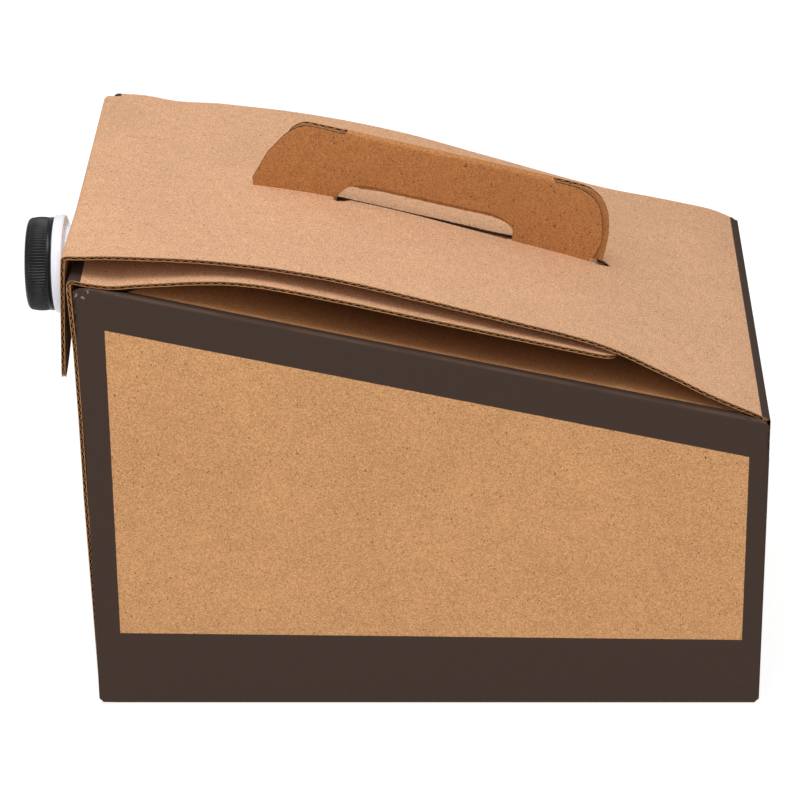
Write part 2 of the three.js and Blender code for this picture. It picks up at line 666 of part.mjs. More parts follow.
const kraft = new THREE.MeshStandardMaterial({ color: 0xc29463, roughness: 0.85, metalness: 0 });
const lidKraft = new THREE.MeshStandardMaterial({ color: 0xd6a881, roughness: 0.85, metalness: 0 });
const film = new THREE.MeshStandardMaterial({ color: 0xc9ccd0, roughness: 0.35, metalness: 0 });
const whitePlastic = new THREE.MeshStandardMaterial({ color: 0xdcdad8, roughness: 0.4, metalness: 0 });
const blackPlastic = new THREE.MeshStandardMaterial({ color: 0x2b2b2d, roughness: 0.45, metalness: 0 });
const foam = new THREE.MeshStandardMaterial({ color: 0xe9e7e2, roughness: 0.7, metalness: 0 });

const carrier = new THREE.Group();
function addPiece(name, solid, material) {
  const mesh = new THREE.Mesh(geometryFrom(solid), material);
  mesh.name = name;
  carrier.add(mesh);
}

addPiece('carton_body', cartonBody(), kraft);
addPiece('carton_lid', cartonLid(), lidKraft);
addPiece('inner_bag', innerBag(), film);
addPiece('spout_neck', spoutNeck(), whitePlastic);
addPiece('screw_cap', screwCap(), blackPlastic);
addPiece('cap_liner', capLiner(), foam);

export default carrier;
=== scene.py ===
# A coffee carrier box: boards, handle, bag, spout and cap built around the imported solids.
# Sizes are in millimetres and turned to metres when a mesh is made.

import cmath
import math

import bpy
import numpy as np
from mathutils import Matrix, Vector, noise
from mathutils.geometry import delaunay_2d_cdt


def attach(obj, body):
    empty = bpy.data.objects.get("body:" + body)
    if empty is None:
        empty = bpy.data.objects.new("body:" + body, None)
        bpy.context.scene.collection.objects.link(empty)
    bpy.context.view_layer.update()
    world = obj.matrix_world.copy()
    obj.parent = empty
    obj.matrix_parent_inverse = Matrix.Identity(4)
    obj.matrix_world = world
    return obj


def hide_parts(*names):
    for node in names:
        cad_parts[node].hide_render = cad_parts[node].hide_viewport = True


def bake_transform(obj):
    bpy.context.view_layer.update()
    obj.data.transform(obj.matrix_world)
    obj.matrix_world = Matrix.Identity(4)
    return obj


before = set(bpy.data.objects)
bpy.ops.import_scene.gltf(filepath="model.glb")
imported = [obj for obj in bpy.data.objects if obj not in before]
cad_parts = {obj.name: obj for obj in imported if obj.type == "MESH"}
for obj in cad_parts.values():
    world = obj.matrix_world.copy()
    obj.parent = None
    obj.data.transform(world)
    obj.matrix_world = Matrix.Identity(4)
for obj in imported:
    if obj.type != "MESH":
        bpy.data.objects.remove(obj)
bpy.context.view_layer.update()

MM = 0.001

# Carton
LENGTH = 270
WIDTH = 195
HEIGHT_FRONT = 190
HEIGHT_BACK = 130
BOARD = 1.6
FOLD_RADIUS = 2.2
CLEARANCE = 0.3
WALL_LEAN = 2
GLUE_FLAP = 60
GLUE_FLAP_DROP = 14
DUST_FLAP = 52
DUST_FLAP_END = 14
DUST_FLAP_HINGE_END = 4.5
DUST_FLAP_TAPER = 34
DUST_RISE_NEAR = -9
DUST_RISE_FAR = 6
BOTTOM_STUB = 8
CORNER_BEAD = 1.55
SKIN_ON_WALL = 2.6
SKIN_ON_LID = 2.4
SKIN_THICK = 0.28

# Lid
LID_NEAR_INSET = 2.5
LID_FAR_INSET = 3.5
LID_NEAR_TAPER = 4
LID_FAR_TAPER = 7
LID_OVERHANG = 2.9
FRONT_FLAP = 51
FRONT_FLAP_SPLAY = 5.4
FRONT_FLAP_CURL = 0.8
FLAP_NEAR_SPLAY = 2.4
FLAP_NEAR_OUT = 1.2
FLAP_NEAR_DROP = 3
WALL_FLARE = 1.9
SIDE_FLARE = 1.7
FLARE_LOW = 110
FLARE_REACH = 30
NOTCH_CLEARANCE = 1
LID_BULGE = 22.8

# Handle
HANDLE_LENGTH = 147
HANDLE_RISE = 32
HANDLE_Y = -4.5
HANDLE_X = -2
HANDLE_LIFT = 0.9
PLY_GAP = 0.4
OPENING_MARGIN = 1
HANDLE_BACK_INSET = 20
HANDLE_TOP_INSET = 10
CREASE_DASH = 1.9

# Spout and cap
SPOUT_HEIGHT = HEIGHT_FRONT - 36.3
NECK_RADIUS = 16.2
BORE_RADIUS = 13.8
NECK_REACH = 25.6
RING_RADIUS = 20.4
RING_START = 13
RING_WIDTH = 4.7
FLANGE_RADIUS = 24
FLANGE_THICK = 3
THREAD_PITCH = 4.2
THREAD_DEPTH = 1.1
THREAD_BASE = 1.9
THREAD_TURNS = 1.25
THREAD_CLEARANCE = 0.3
CAP_RADIUS = 19.45
CAP_TOP = 1.6
CAP_RIBS = 96
CAP_RIB_DEPTH = 0.42
CAP_CROWN = 0.35
CAP_RING_GAP = 0.4
LINER_THICK = 1

# Bag
BAG_GAP = 1
BAG_SQUARENESS = 0.36

# Stations along the surfaces of the boards
BEND_STEPS = 8
LID_STATIONS = 70
WRAP_STATIONS = 46
SIDE_STATIONS = 46
FLAP_STATIONS = 8
WALL_STATIONS = 14
STUB_STATIONS = 3
ROWS = 25

# Print: corners and edges of the bare windows, and how far the ink turns over a fold
SIDE_WINDOW_LOW = (-125, 34.1, 127, 30.8)
SIDE_WINDOW_HIGH = (-124.6, 170.7, 126.8, 114.8)
SIDE_WINDOW_ENDS = (-124.8, 126.9)
BACK_WINDOW_LOW = 32
BACK_WINDOW_HALF = 88
BACK_BORDER = 16
SIDE_TURNOVER = 4.2
END_TURNOVER = 3.7
CREASE_Y = -5.75
CREASE_HALF = 71

# Board edges
EDGE_STEP = 1.1
LINER = 0.3
GROOVE = 1.3
FLUTE_PITCH = 3.3
FLUTE_RISE = 0.34
PAPER = 0.2

HALF_LENGTH = LENGTH / 2
HALF_WIDTH = WIDTH / 2
FOLD_SLOPE = (HEIGHT_FRONT - HEIGHT_BACK) / LENGTH
HINGE_X = HALF_LENGTH - BOARD / 2
HINGE_Z = HEIGHT_BACK - BOARD / 2
BACK_WALL_TOP = HINGE_Z - BOARD / 2 - CLEARANCE
WALL_X = -HALF_LENGTH - WALL_LEAN
SIDE_END = HALF_LENGTH - BOARD
SPOUT_FACE_X = -HALF_LENGTH - WALL_LEAN * SPOUT_HEIGHT / HEIGHT_FRONT

# The fold at each end of a long side: (out, in from the face)
SIDE_BEAD = [(0.8, 2.0), (1.35, 1.55), (CORNER_BEAD, 1.0), (1.45, 0.5), (1.05, 0.16), (0.4, 0)]

# Heights above the sloping fold line: [share of the length, share of the lid's bulge]
LID_NEAR = [
    [0, 0.412], [0.036, 0.518], [0.087, 0.64], [0.168, 0.811], [0.277, 0.956], [0.377, 1],
    [0.505, 0.952], [0.63, 0.886], [0.755, 0.785], [0.859, 0.456], [0.915, 0.246], [0.96, 0.118], [1, 0],
]
LID_FAR = [
    [0, 0.105], [0.05, 0.202], [0.09, 0.219], [0.17, 0.36], [0.3, 0.491], [0.45, 0.491],
    [0.6, 0.333], [0.777, 0.149], [0.9, 0.14], [0.96, 0.114], [1, 0],
]
INNER_NEAR = [
    [0, 0.035], [0.05, 0.088], [0.085, 0.211], [0.126, 0.346], [0.181, 0.518], [0.24, 0.645],
    [0.33, 0.684], [0.5, 0.658], [0.778, 0.627],
]
INNER_FAR = [
    [0, 0.009], [0.05, 0.092], [0.09, 0.101], [0.17, 0.254], [0.3, 0.386], [0.45, 0.386],
    [0.6, 0.228], [0.778, 0.035],
]
INNER_END = 0.778
INNER_NEAR_INSET = 1.9
INNER_FAR_TAPER = 7


def mix(a, b, share):
    return a + (b - a) * share


def smooth_curve(points):
    """A smooth curve through the points of one table, in millimetres."""
    places, heights = np.array(points, float).T
    heights = heights * LID_BULGE
    final = len(places) - 1

    def read(share):
        share = np.clip(np.asarray(share, float), places[0], places[-1])
        i = np.clip(np.searchsorted(places, share, side="right"), 1, final)
        start, end = places[i - 1], places[i]
        low, high = heights[i - 1], heights[i]
        before, after = np.maximum(i - 2, 0), np.minimum(i + 1, final)
        place_before = np.where(i > 1, places[before], end)
        height_before = np.where(i > 1, heights[before], high)
        place_after = np.where(i < final, places[after], start)
        height_after = np.where(i < final, heights[after], low)
        half, rise = (end - start) / 2, (high - low) / 2
        slope_start = half * (low - height_before) / (start - place_before) + rise
        slope_end = half * (height_after - high) / (place_after - end) + rise
        p = (share - start) / (end - start)
        return (low + (high - low) * (3 * p**2 - 2 * p**3)
                + slope_start * (p**3 - 2 * p**2 + p) + slope_end * (p**3 - p**2))

    return read


lid_near = smooth_curve(LID_NEAR)
lid_far = smooth_curve(LID_FAR)
inner_near = smooth_curve(INNER_NEAR)
inner_far = smooth_curve(INNER_FAR)


def fold_height(x):
    return HEIGHT_FRONT - FOLD_SLOPE * (x + HALF_LENGTH)


def share_at(x):
    return (x + HALF_LENGTH) / LENGTH


def lid_top(x, across):
    return fold_height(x) + mix(lid_near(share_at(x)), lid_far(share_at(x)), across)


def inner_top(x, across):
    return fold_height(x) + mix(inner_near(share_at(x)), inner_far(share_at(x)), across)


def lid_y(x, across):
    reach = 1 - share_at(x)
    near = -HALF_WIDTH + LID_NEAR_INSET + LID_NEAR_TAPER * reach
    far = HALF_WIDTH - LID_FAR_INSET - LID_FAR_TAPER * reach
    return mix(near, far, across)


def inner_y(x, across):
    near = -HALF_WIDTH + INNER_NEAR_INSET
    far = HALF_WIDTH - INNER_NEAR_INSET - INNER_FAR_TAPER * share_at(x)
    return mix(near, far, across)


# The handle stands on a line that joins two places on the lid
def lid_on_handle(x):
    return float(lid_top(x, (HANDLE_Y - lid_y(x, 0)) / (lid_y(x, 1) - lid_y(x, 0))))


handle_ends = [lid_on_handle(HANDLE_X - HANDLE_LENGTH / 2), lid_on_handle(HANDLE_X + HANDLE_LENGTH / 2)]
HANDLE_PITCH = math.atan2(handle_ends[1] - handle_ends[0], HANDLE_LENGTH)
HANDLE_BASE_Z = sum(handle_ends) / 2 + HANDLE_LIFT


def bent_line(corners):
    """A line through (a, b, c, radius) corners, with an arc wherever the radius isn't zero."""
    line = []
    for index, (a, b, c, radius) in enumerate(corners):
        if not radius:
            line.append((a, b, c))
            continue
        here = complex(a, b)
        before = complex(*corners[index - 1][:2]) - here
        after = complex(*corners[index + 1][:2]) - here
        before /= abs(before)
        after /= abs(after)
        half = abs(cmath.phase(after / before)) / 2
        middle = (before + after) / abs(before + after)
        centre = here + middle * radius / math.sin(half)
        start = here + before * radius / math.tan(half) - centre
        end = here + after * radius / math.tan(half) - centre
        turn = cmath.phase(end / start)
        for step in range(BEND_STEPS + 1):
            spot = centre + start * cmath.rect(1, turn * step / BEND_STEPS)
            line.append((spot.real, spot.imag, c))
    return line


def linked(name, data):
    thing = bpy.data.objects.new(name, data)
    bpy.context.scene.collection.objects.link(thing)
    return thing


class Surface:
    """A grid of places, read at (along, across) in millimetres."""

    def __init__(self, grid, outward):
        self.grid = np.array(grid, float)
        self.outward = outward
        along = np.linalg.norm(np.diff(self.grid, axis=1), axis=2).mean(0)
        across = np.linalg.norm(np.diff(self.grid, axis=0), axis=2).mean(1)
        self.along = np.concatenate([[0], np.cumsum(along)])
        self.across = np.concatenate([[0], np.cumsum(across)])

    def place(self, u, v):
        i = np.clip(np.searchsorted(self.along, u) - 1, 0, len(self.along) - 2)
        j = np.clip(np.searchsorted(self.across, v) - 1, 0, len(self.across) - 2)
        s = ((u - self.along[i]) / (self.along[i + 1] - self.along[i]))[:, None]
        t = ((v - self.across[j]) / (self.across[j + 1] - self.across[j]))[:, None]
        grid = self.grid
        return mix(mix(grid[j, i], grid[j, i + 1], s), mix(grid[j + 1, i], grid[j + 1, i + 1], s), t)

    def normal(self, u, v, reach=0.4):
        du = self.place(u + reach, v) - self.place(u - reach, v)
        dv = self.place(u, v + reach) - self.place(u, v - reach)
        n = np.cross(du, dv) * self.outward
        return n / np.maximum(np.linalg.norm(n, axis=1, keepdims=True), 1e-9)

    def deep(self, uv, depth):
        """Places below the outer face by a depth."""
        u, v = uv[:, 0], uv[:, 1]
        depth = np.broadcast_to(depth, u.shape)[:, None]
        return self.place(u, v) - self.normal(u, v) * depth


def resample(loop, step):
    """A closed loop with points no further apart than a step."""
    out = []
    for index, a in enumerate(loop):
        b = loop[(index + 1) % len(loop)]
        count = max(1, math.ceil(math.dist(a, b) / step))
        for k in range(count):
            out.append((mix(a[0], b[0], k / count), mix(a[1], b[1], k / count)))
    return np.array(out, float)


def turning(loop):
    x, y = loop[:, 0], loop[:, 1]
    return float(np.sum(x * np.roll(y, -1) - np.roll(x, -1) * y)) / 2


def inward(loop):
    """Unit vectors to the left of each point of a loop."""
    direction = np.roll(loop, -1, axis=0) - np.roll(loop, 1, axis=0)
    left = np.stack([-direction[:, 1], direction[:, 0]], axis=1)
    return left / np.maximum(np.linalg.norm(left, axis=1, keepdims=True), 1e-9)


def worn(loop, amount, seed):
    """A loop with its edge slightly ragged."""
    moves = []
    for x, y in loop:
        broad = noise.noise(Vector((x * 0.09, y * 0.09, seed)))
        fine = noise.noise(Vector((x * 0.7, y * 0.7, seed + 9)))
        moves.append(amount * (0.7 * broad + 0.5 * fine + 0.35))
    return loop + inward(loop) * np.array(moves)[:, None]


def inside(points, loop):
    x, y = points[:, 0][:, None], points[:, 1][:, None]
    ax, ay = loop[:, 0][None, :], loop[:, 1][None, :]
    bx, by = np.roll(ax, -1), np.roll(ay, -1)
    crosses = (ay > y) != (by > y)
    slope = (bx - ax) * (y - ay) / np.where(by == ay, 1e-9, by - ay) + ax
    return (np.sum(crosses & (x < slope), axis=1) % 2) == 1


def within(points, loops):
    """True inside the first loop and outside the others."""
    keep = inside(points, loops[0])
    for hole in loops[1:]:
        keep &= ~inside(points, hole)
    return keep


def far_from(points, loop, distance):
    keep = np.ones(len(points), bool)
    for start in range(0, len(points), 2000):
        chunk = points[start:start + 2000]
        gap = np.min(np.sum((chunk[:, None, :] - loop[None, :, :]) ** 2, axis=2), axis=1)
        keep[start:start + 2000] = gap > distance**2
    return keep


class Pieces:
    """Vertices and faces gathered for one mesh."""

    def __init__(self):
        self.points = []
        self.count = 0
        self.faces = []
        self.slots = []

    def add(self, points):
        first = self.count
        self.points.append(np.asarray(points, float))
        self.count += len(points)
        return first

    def strip(self, row_a, row_b, slot, closed=True):
        count = len(row_a)
        for i in range(count if closed else count - 1):
            k = (i + 1) % count
            self.faces.append((int(row_a[i]), int(row_a[k]), int(row_b[k]), int(row_b[i])))
            self.slots.append(slot)

    def grid(self, rows, slot, closed=True):
        firsts = [self.add(row) for row in rows]
        count = len(rows[0])
        for a, b in zip(firsts[:-1], firsts[1:]):
            self.strip(np.arange(count) + a, np.arange(count) + b, slot, closed)
        return firsts

    def cap(self, first, count, slot, flip=False):
        face = [first + i for i in range(count)]
        self.faces.append(tuple(reversed(face)) if flip else tuple(face))
        self.slots.append(slot)

    def make(self, name, materials, sharp=38):
        mesh = bpy.data.meshes.new(name)
        mesh.from_pydata((np.concatenate(self.points) * MM).tolist(), [], self.faces)
        for material in materials:
            mesh.materials.append(material)
        mesh.polygons.foreach_set("material_index", self.slots)
        mesh.polygons.foreach_set("use_smooth", [True] * len(self.faces))
        mesh.set_sharp_from_angle(angle=math.radians(sharp))
        mesh.update()
        return linked(name, mesh)


def mesh_lines(low, high, step, fine):
    """Places of the mesh across a sheet, closer together round its folds."""
    lines = np.arange(low + step / 2, high, step)
    for place, reach, gap in fine:
        lines = lines[np.abs(lines - place) > reach]
        lines = np.concatenate([lines, np.arange(place - reach, place + reach + 0.01, gap)])
    return lines


def board_into(pieces, surface, outline, holes=(), fine_u=(), fine_v=(), step=5, wear=0.2, seed=1,
               joined=None):
    """One sheet of board: outer face slot 0, inner face slot 1, raw edges slots 2 and 3, with slot 3 painted
    shade in the flute groove.
    """
    loops = []
    for index, loop in enumerate([outline, *holes]):
        loop = resample(loop, EDGE_STEP)
        if (turning(loop) > 0) != (index == 0):
            loop = loop[::-1]
        loops.append(worn(loop, wear, seed + index * 3.1))
    low, high = loops[0].min(0), loops[0].max(0)
    uu, vv = np.meshgrid(mesh_lines(low[0], high[0], step, fine_u), mesh_lines(low[1], high[1], step, fine_v))
    points = np.stack([uu.ravel(), vv.ravel()], axis=1)
    points = points[within(points, loops)]
    for loop in loops:
        points = points[far_from(points, loop, 0.7)]
    verts = []
    edges = []
    for loop in loops:
        first = len(verts)
        verts.extend(Vector(p) for p in loop.tolist())
        edges.extend((first + i, first + (i + 1) % len(loop)) for i in range(len(loop)))
    verts.extend(Vector(p) for p in points.tolist())
    out_verts, _, out_faces, _, _, _ = delaunay_2d_cdt(verts, edges, [], 1, 1e-5)
    flat = np.array([(v.x, v.y) for v in out_verts], float)
    faces = np.array([f for f in out_faces if len(f) == 3], int)
    faces = faces[within(flat[faces].mean(axis=1), loops)]
    first_outer = pieces.add(surface.deep(flat, 0))
    first_inner = pieces.add(surface.deep(flat, BOARD))
    edge_places = {(round(v.x, 4), round(v.y, 4)): i for i, v in enumerate(out_verts)}
    if surface.outward < 0:
        faces = faces[:, ::-1]
    for a, b, c in faces.tolist():
        pieces.faces += [(a + first_outer, b + first_outer, c + first_outer),
                         (a + first_inner, c + first_inner, b + first_inner)]
        pieces.slots += [0, 1]
    for loop in loops:
        known = [edge_places[(round(x, 4), round(y, 4))] for x, y in loop.astype(np.float32).tolist()]
        row_outer = np.array(known) + first_outer
        row_inner = np.array(known) + first_inner
        left = inward(loop)
        if joined is not None:
            left = left * np.where(joined(loop), 0.02, 1.0)[:, None]
        groove = loop + left * GROOVE
        rows = [row_outer]
        for line, depth in ((loop, LINER), (groove, LINER), (groove, BOARD - LINER), (loop, BOARD - LINER)):
            rows.append(np.arange(len(loop)) + pieces.add(surface.deep(line, depth)))
        rows.append(row_inner)
        # The groove's walls take slot 3, painted shade in the flute channel.
        for a, b, slot in zip(rows[:-1], rows[1:], (2, 3, 3, 3, 2)):
            pieces.strip(a, b, slot)
        fine = resample(loop.tolist(), 0.42)
        left = inward(fine)
        if joined is not None:
            fine = fine + left * np.where(joined(fine), GROOVE, 0.0)[:, None]
        wave = BOARD / 2 + FLUTE_RISE * np.sin(fine[:, 0] / FLUTE_PITCH * 2 * math.pi)
        front = fine + left * 0.25
        rear = fine + left * GROOVE
        corners = ((rear, -1), (front, -1), (front, 1), (rear, 1))
        pieces.grid([surface.deep(line, wave + side * PAPER / 2) for line, side in corners], 2)


# Materials

class Shader:
    """A material and short ways to add and join its nodes."""

    def __init__(self, name, roughness, **sockets):
        self.material = bpy.data.materials.new(name)
        self.material.use_nodes = True
        self.tree = self.material.node_tree
        self.surface = self.tree.nodes["Principled BSDF"]
        self.surface.inputs["Roughness"].default_value = roughness
        for key, value in sockets.items():
            self.surface.inputs[key.replace("_", " ")].default_value = value
        self.coords = self.tree.nodes.new("ShaderNodeTexCoord").outputs["Object"]

    def node(self, kind, settings=None, **inputs):
        made = self.tree.nodes.new("ShaderNode" + kind)
        for key, value in (settings or {}).items():
            setattr(made, key, value)
        for key, value in inputs.items():
            socket = made.inputs[int(key[1:]) if key[1:].isdigit() else key]
            if isinstance(value, bpy.types.NodeSocket):
                self.tree.links.new(value, socket)
            else:
                socket.default_value = value
        return made

    def math(self, operation, a, b=0.0, c=0.0):
        return self.node("Math", {"operation": operation}, i0=a, i1=b, i2=c).outputs[0]

    def times(self, a, b):
        return self.math("MULTIPLY", a, b)

    def axis(self, name):
        if not hasattr(self, "split"):
            self.split = self.node("SeparateXYZ", Vector=self.coords)
        return self.split.outputs[name]

    def stretched(self, x, y, z):
        return self.node("VectorMath", {"operation": "MULTIPLY"}, i0=self.coords, i1=(x, y, z)).outputs[0]

    def noise(self, scale, detail=2.0, vector=None, roughness=0.5):
        return self.node("TexNoise", None, Vector=vector or self.coords, Scale=scale, Detail=detail,
                         Roughness=roughness).outputs["Fac"]

    def between(self, value, low, high, to_low=0.0, to_high=1.0):
        return self.node("MapRange", {"interpolation_type": "SMOOTHSTEP"}, i0=value, i1=low, i2=high,
                         i3=to_low, i4=to_high).outputs[0]

    def past(self, name, low, high):
        """Zero up to one place on an axis and one past another, in millimetres."""
        return self.between(self.axis(name), low * MM, high * MM)

    def blend(self, factor, a, b):
        return self.node("Mix", {"data_type": "RGBA"}, i0=factor, i6=a, i7=b).outputs[2]

    def colour(self, socket):
        self.tree.links.new(socket, self.surface.inputs["Base Color"])

    def bump(self, height, strength, distance):
        made = self.node("Bump", None, Height=height, Strength=strength, Distance=distance)
        self.tree.links.new(made.outputs[0], self.surface.inputs["Normal"])


def linear(red, green, blue):
    """An sRGB colour of 0 to 255 as linear light."""
    def one(value):
        value = value / 255
        return value / 12.92 if value <= 0.04045 else ((value + 0.055) / 1.055) ** 2.4
    return (one(red), one(green), one(blue), 1)


def shade(colour, factor):
    return (colour[0] * factor, colour[1] * factor, colour[2] * factor, 1)


def kraft_paper(shader, base):
    """Mottled fibre paper with dark and light flecks."""
    cloud = shader.noise(22, 3)
    patch = shader.noise(190, 3, roughness=0.6)
    grain = shader.noise(1750, 3, roughness=0.8)
    fibre = shader.noise(420, 3, vector=shader.stretched(1, 3, 3), roughness=0.7)
    speck = shader.noise(880, 1)
    glint = shader.noise(1010, 1, vector=shader.stretched(1.1, 1.2, 1.3))
    colour = shader.blend(shader.between(cloud, 0.35, 0.65), shade(base, 0.95), shade(base, 1.05))
    for pattern, low, high, amount, tone in (
            (patch, 0.35, 0.65, 0.5, 0.85), (grain, 0.5, 0.63, 0.72, 0.55), (grain, 0.5, 0.38, 0.72, 1.4),
            (fibre, 0.6, 0.72, 0.4, 1.3), (glint, 0.7, 0.74, 0.7, 1.6), (speck, 0.7, 0.74, 0.85, 0.22)):
        colour = shader.blend(shader.between(pattern, low, high, 0, amount), colour, shade(base, tone))
    return colour, grain, fibre


def kraft(name, base):
    shader = Shader(name, 0.9, Specular_IOR_Level=0.25)
    return (shader, *kraft_paper(shader, base))


def pressed(shader, colour, grain, fibre, strength=0.5):
    """Finish a paper with its bump, and the faint ridges of the flutes under the liner."""
    shader.colour(colour)
    ridges = shader.math("SINE", shader.times(shader.axis("X"), 2 * math.pi / (FLUTE_PITCH * MM)))
    height = shader.math("ADD", shader.times(grain, 0.28), shader.times(fibre, 0.4))
    shader.bump(shader.math("ADD", height, shader.times(ridges, 0.05)), strength, 0.4 * MM)
    return shader.material


BROWN_PRINT = linear(62, 47, 39)
SIDE_KRAFT = linear(196, 145, 98)
LID_KRAFT = linear(205, 159, 123)
# The handle's plies are folded from the lid's own board; their darker tone is painted shade.
HANDLE_SHADED_KRAFT = linear(178, 120, 71)
EDGE_KRAFT = linear(176, 126, 82)
# The flute core's dark tone is painted shade inside the groove of each raw edge.
CORE_SHADE_KRAFT = linear(66, 36, 18)


def printed(shader, base_colour, mask, grain, fibre):
    """Dark ink laid over the paper wherever the mask is one."""
    dark, light = shade(BROWN_PRINT, 0.94), shade(BROWN_PRINT, 1.06)
    ink = shader.blend(shader.between(grain, 0.35, 0.65), dark, light)
    bare = shader.times(shader.between(grain, 0.68, 0.74), shader.between(fibre, 0.5, 0.62, 0, 0.3))
    ink = shader.blend(bare, ink, shade(SIDE_KRAFT, 0.6))
    return shader.blend(mask, base_colour, ink)


def window_mask(shader, along, low_line, high_line, left, right):
    """One outside a four-sided window, and zero inside it, with a slightly soft ink edge."""
    wobble = shader.times(shader.math("SUBTRACT", shader.noise(300, 2), 0.5), 0.2 * MM)
    height = shader.math("ADD", shader.axis("Z"), wobble)
    low = shader.math("MULTIPLY_ADD", along, low_line[0], low_line[1])
    high = shader.math("MULTIPLY_ADD", along, high_line[0], high_line[1])
    across = shader.math("ADD", along, wobble)
    soft = 0.12 * MM
    bare = 1.0
    for greater, less in ((height, low), (high, height), (across, left), (right, across)):
        bare = shader.times(bare, shader.between(shader.math("SUBTRACT", greater, less), -soft, soft))
    return shader.math("SUBTRACT", 1.0, bare)


def line_through(x1, z1, x2, z2):
    slope = (z2 - z1) / (x2 - x1)
    return slope, (z1 - slope * x1) * MM


def side_paint():
    """The long sides: a dark border round a kraft window, which turns over the top fold a little."""
    shader, colour, grain, fibre = kraft("printed_side", SIDE_KRAFT)
    left, right = SIDE_WINDOW_ENDS
    mask = window_mask(shader, shader.axis("X"), line_through(*SIDE_WINDOW_LOW),
                       line_through(*SIDE_WINDOW_HIGH), left * MM, right * MM)
    from_middle = shader.math("ABSOLUTE", shader.axis("Y"))
    printed_to = HALF_WIDTH - SIDE_TURNOVER
    mask = shader.times(mask, shader.between(from_middle, printed_to * MM, (printed_to + 0.3) * MM))
    mask = shader.times(mask, shader.past("Z", 0.2, 0.5))
    # A lighter line along the top fold: partly the ink rubbed thin, partly a painted highlight on the fold's
    # crest.
    rub_and_sheen_noise = shader.between(shader.noise(60, 4, vector=shader.stretched(1, 0.1, 0.1)), 0.3, 0.6, 0.3, 1)
    fold = shader.math("MULTIPLY_ADD", shader.axis("X"), -FOLD_SLOPE,
                       (HEIGHT_FRONT - FOLD_SLOPE * HALF_LENGTH - 0.6) * MM)
    off_fold = shader.math("ABSOLUTE", shader.math("SUBTRACT", shader.axis("Z"), fold))
    on_fold = shader.between(off_fold, 0.8 * MM, 0.1 * MM)
    on_side = shader.between(from_middle, (HALF_WIDTH - 2) * MM, (HALF_WIDTH - 1) * MM)
    fold_rub_and_sheen = shader.times(shader.times(on_fold, on_side), rub_and_sheen_noise)
    colour = printed(shader, colour, mask, grain, fibre)
    colour = shader.blend(shader.times(fold_rub_and_sheen, 0.6), colour, shade(BROWN_PRINT, 2.3))
    scuff = shader.times(on_side, shader.between(shader.noise(700, 3), 0.58, 0.66))
    at_corner = shader.times(shader.past("X", 7 - HALF_LENGTH, 1 - HALF_LENGTH),
                             shader.past("Z", HEIGHT_FRONT - 7, HEIGHT_FRONT - 2))
    scuff = shader.times(scuff, at_corner)
    return pressed(shader, shader.blend(scuff, colour, linear(200, 190, 178)), grain, fibre)


def wall_paint():
    """The dark spout wall, the back wall with its border, and plain kraft on the inner flap and bottom, the
    inner flap's a little lighter than the lid's kraft as painted light.
    """
    # The inner flap's kraft is set lighter than the lid's, as painted light where it shows through the
    # handle's opening.
    shader, colour, grain, fibre = kraft("printed_wall", shade(LID_KRAFT, 1.04))
    side_colour = kraft_paper(shader, SIDE_KRAFT)[0]
    on_back = shader.past("X", HALF_LENGTH - 2, HALF_LENGTH - 1)
    colour = shader.blend(shader.math("MAXIMUM", shader.past("Z", 3, 1), on_back), colour, side_colour)
    top = HEIGHT_BACK - BACK_BORDER
    mask = window_mask(shader, shader.axis("Y"), (0, BACK_WINDOW_LOW * MM), (0, top * MM),
                       -BACK_WINDOW_HALF * MM, BACK_WINDOW_HALF * MM)
    from_end = shader.math("SUBTRACT", shader.math("ABSOLUTE", shader.axis("X")), (HALF_LENGTH - 1) * MM)
    on_wall = shader.between(from_end, -0.4 * MM, 0.1 * MM)
    spout_wall = shader.past("X", WALL_X + END_TURNOVER, WALL_X + END_TURNOVER - 0.3)
    cover = shader.math("MAXIMUM", shader.times(mask, on_wall), spout_wall)
    cover = shader.times(cover, shader.past("Z", 0.2, 0.5))
    return pressed(shader, printed(shader, colour, cover, grain, fibre), grain, fibre)


def lid_paint():
    """Plain kraft, with the dark strip of the back wall's border at the hinge fold."""
    shader, colour, grain, fibre = kraft("lid_kraft", LID_KRAFT)
    strip = shader.past("X", HALF_LENGTH - END_TURNOVER, HALF_LENGTH - END_TURNOVER + 0.4)
    colour = printed(shader, colour, strip, grain, fibre)
    from_crease = shader.math("ABSOLUTE", shader.math("SUBTRACT", shader.axis("Y"), CREASE_Y * MM))
    on_crease = shader.between(from_crease, 0.5 * MM, 0.25 * MM)
    dashes = shader.math("FRACT", shader.times(shader.axis("X"), 1 / (CREASE_DASH * MM)))
    dashes = shader.between(dashes, 0.45, 0.55)
    from_handle = shader.math("ABSOLUTE", shader.math("SUBTRACT", shader.axis("X"), HANDLE_X * MM))
    on_handle = shader.between(from_handle, CREASE_HALF * MM, (CREASE_HALF - 1) * MM)
    perforated = shader.times(on_crease, shader.times(dashes, on_handle))
    colour = shader.blend(shader.times(perforated, 0.7), colour, shade(LID_KRAFT, 1.35))
    return pressed(shader, colour, grain, fibre)


def moulded(name, roughness, colour, skin=None, **sockets):
    """Plastic, film or foam, with a skin of (scale, detail, roughness) noise and (strength, depth) bump."""
    shader = Shader(name, roughness, Base_Color=colour, **sockets)
    if skin:
        scale, detail, rough, strength, depth = skin
        shader.bump(shader.noise(scale, detail, roughness=rough), strength, depth * MM)
    return shader.material


side_outer = side_paint()
wall_outer = wall_paint()
lid_outer = lid_paint()
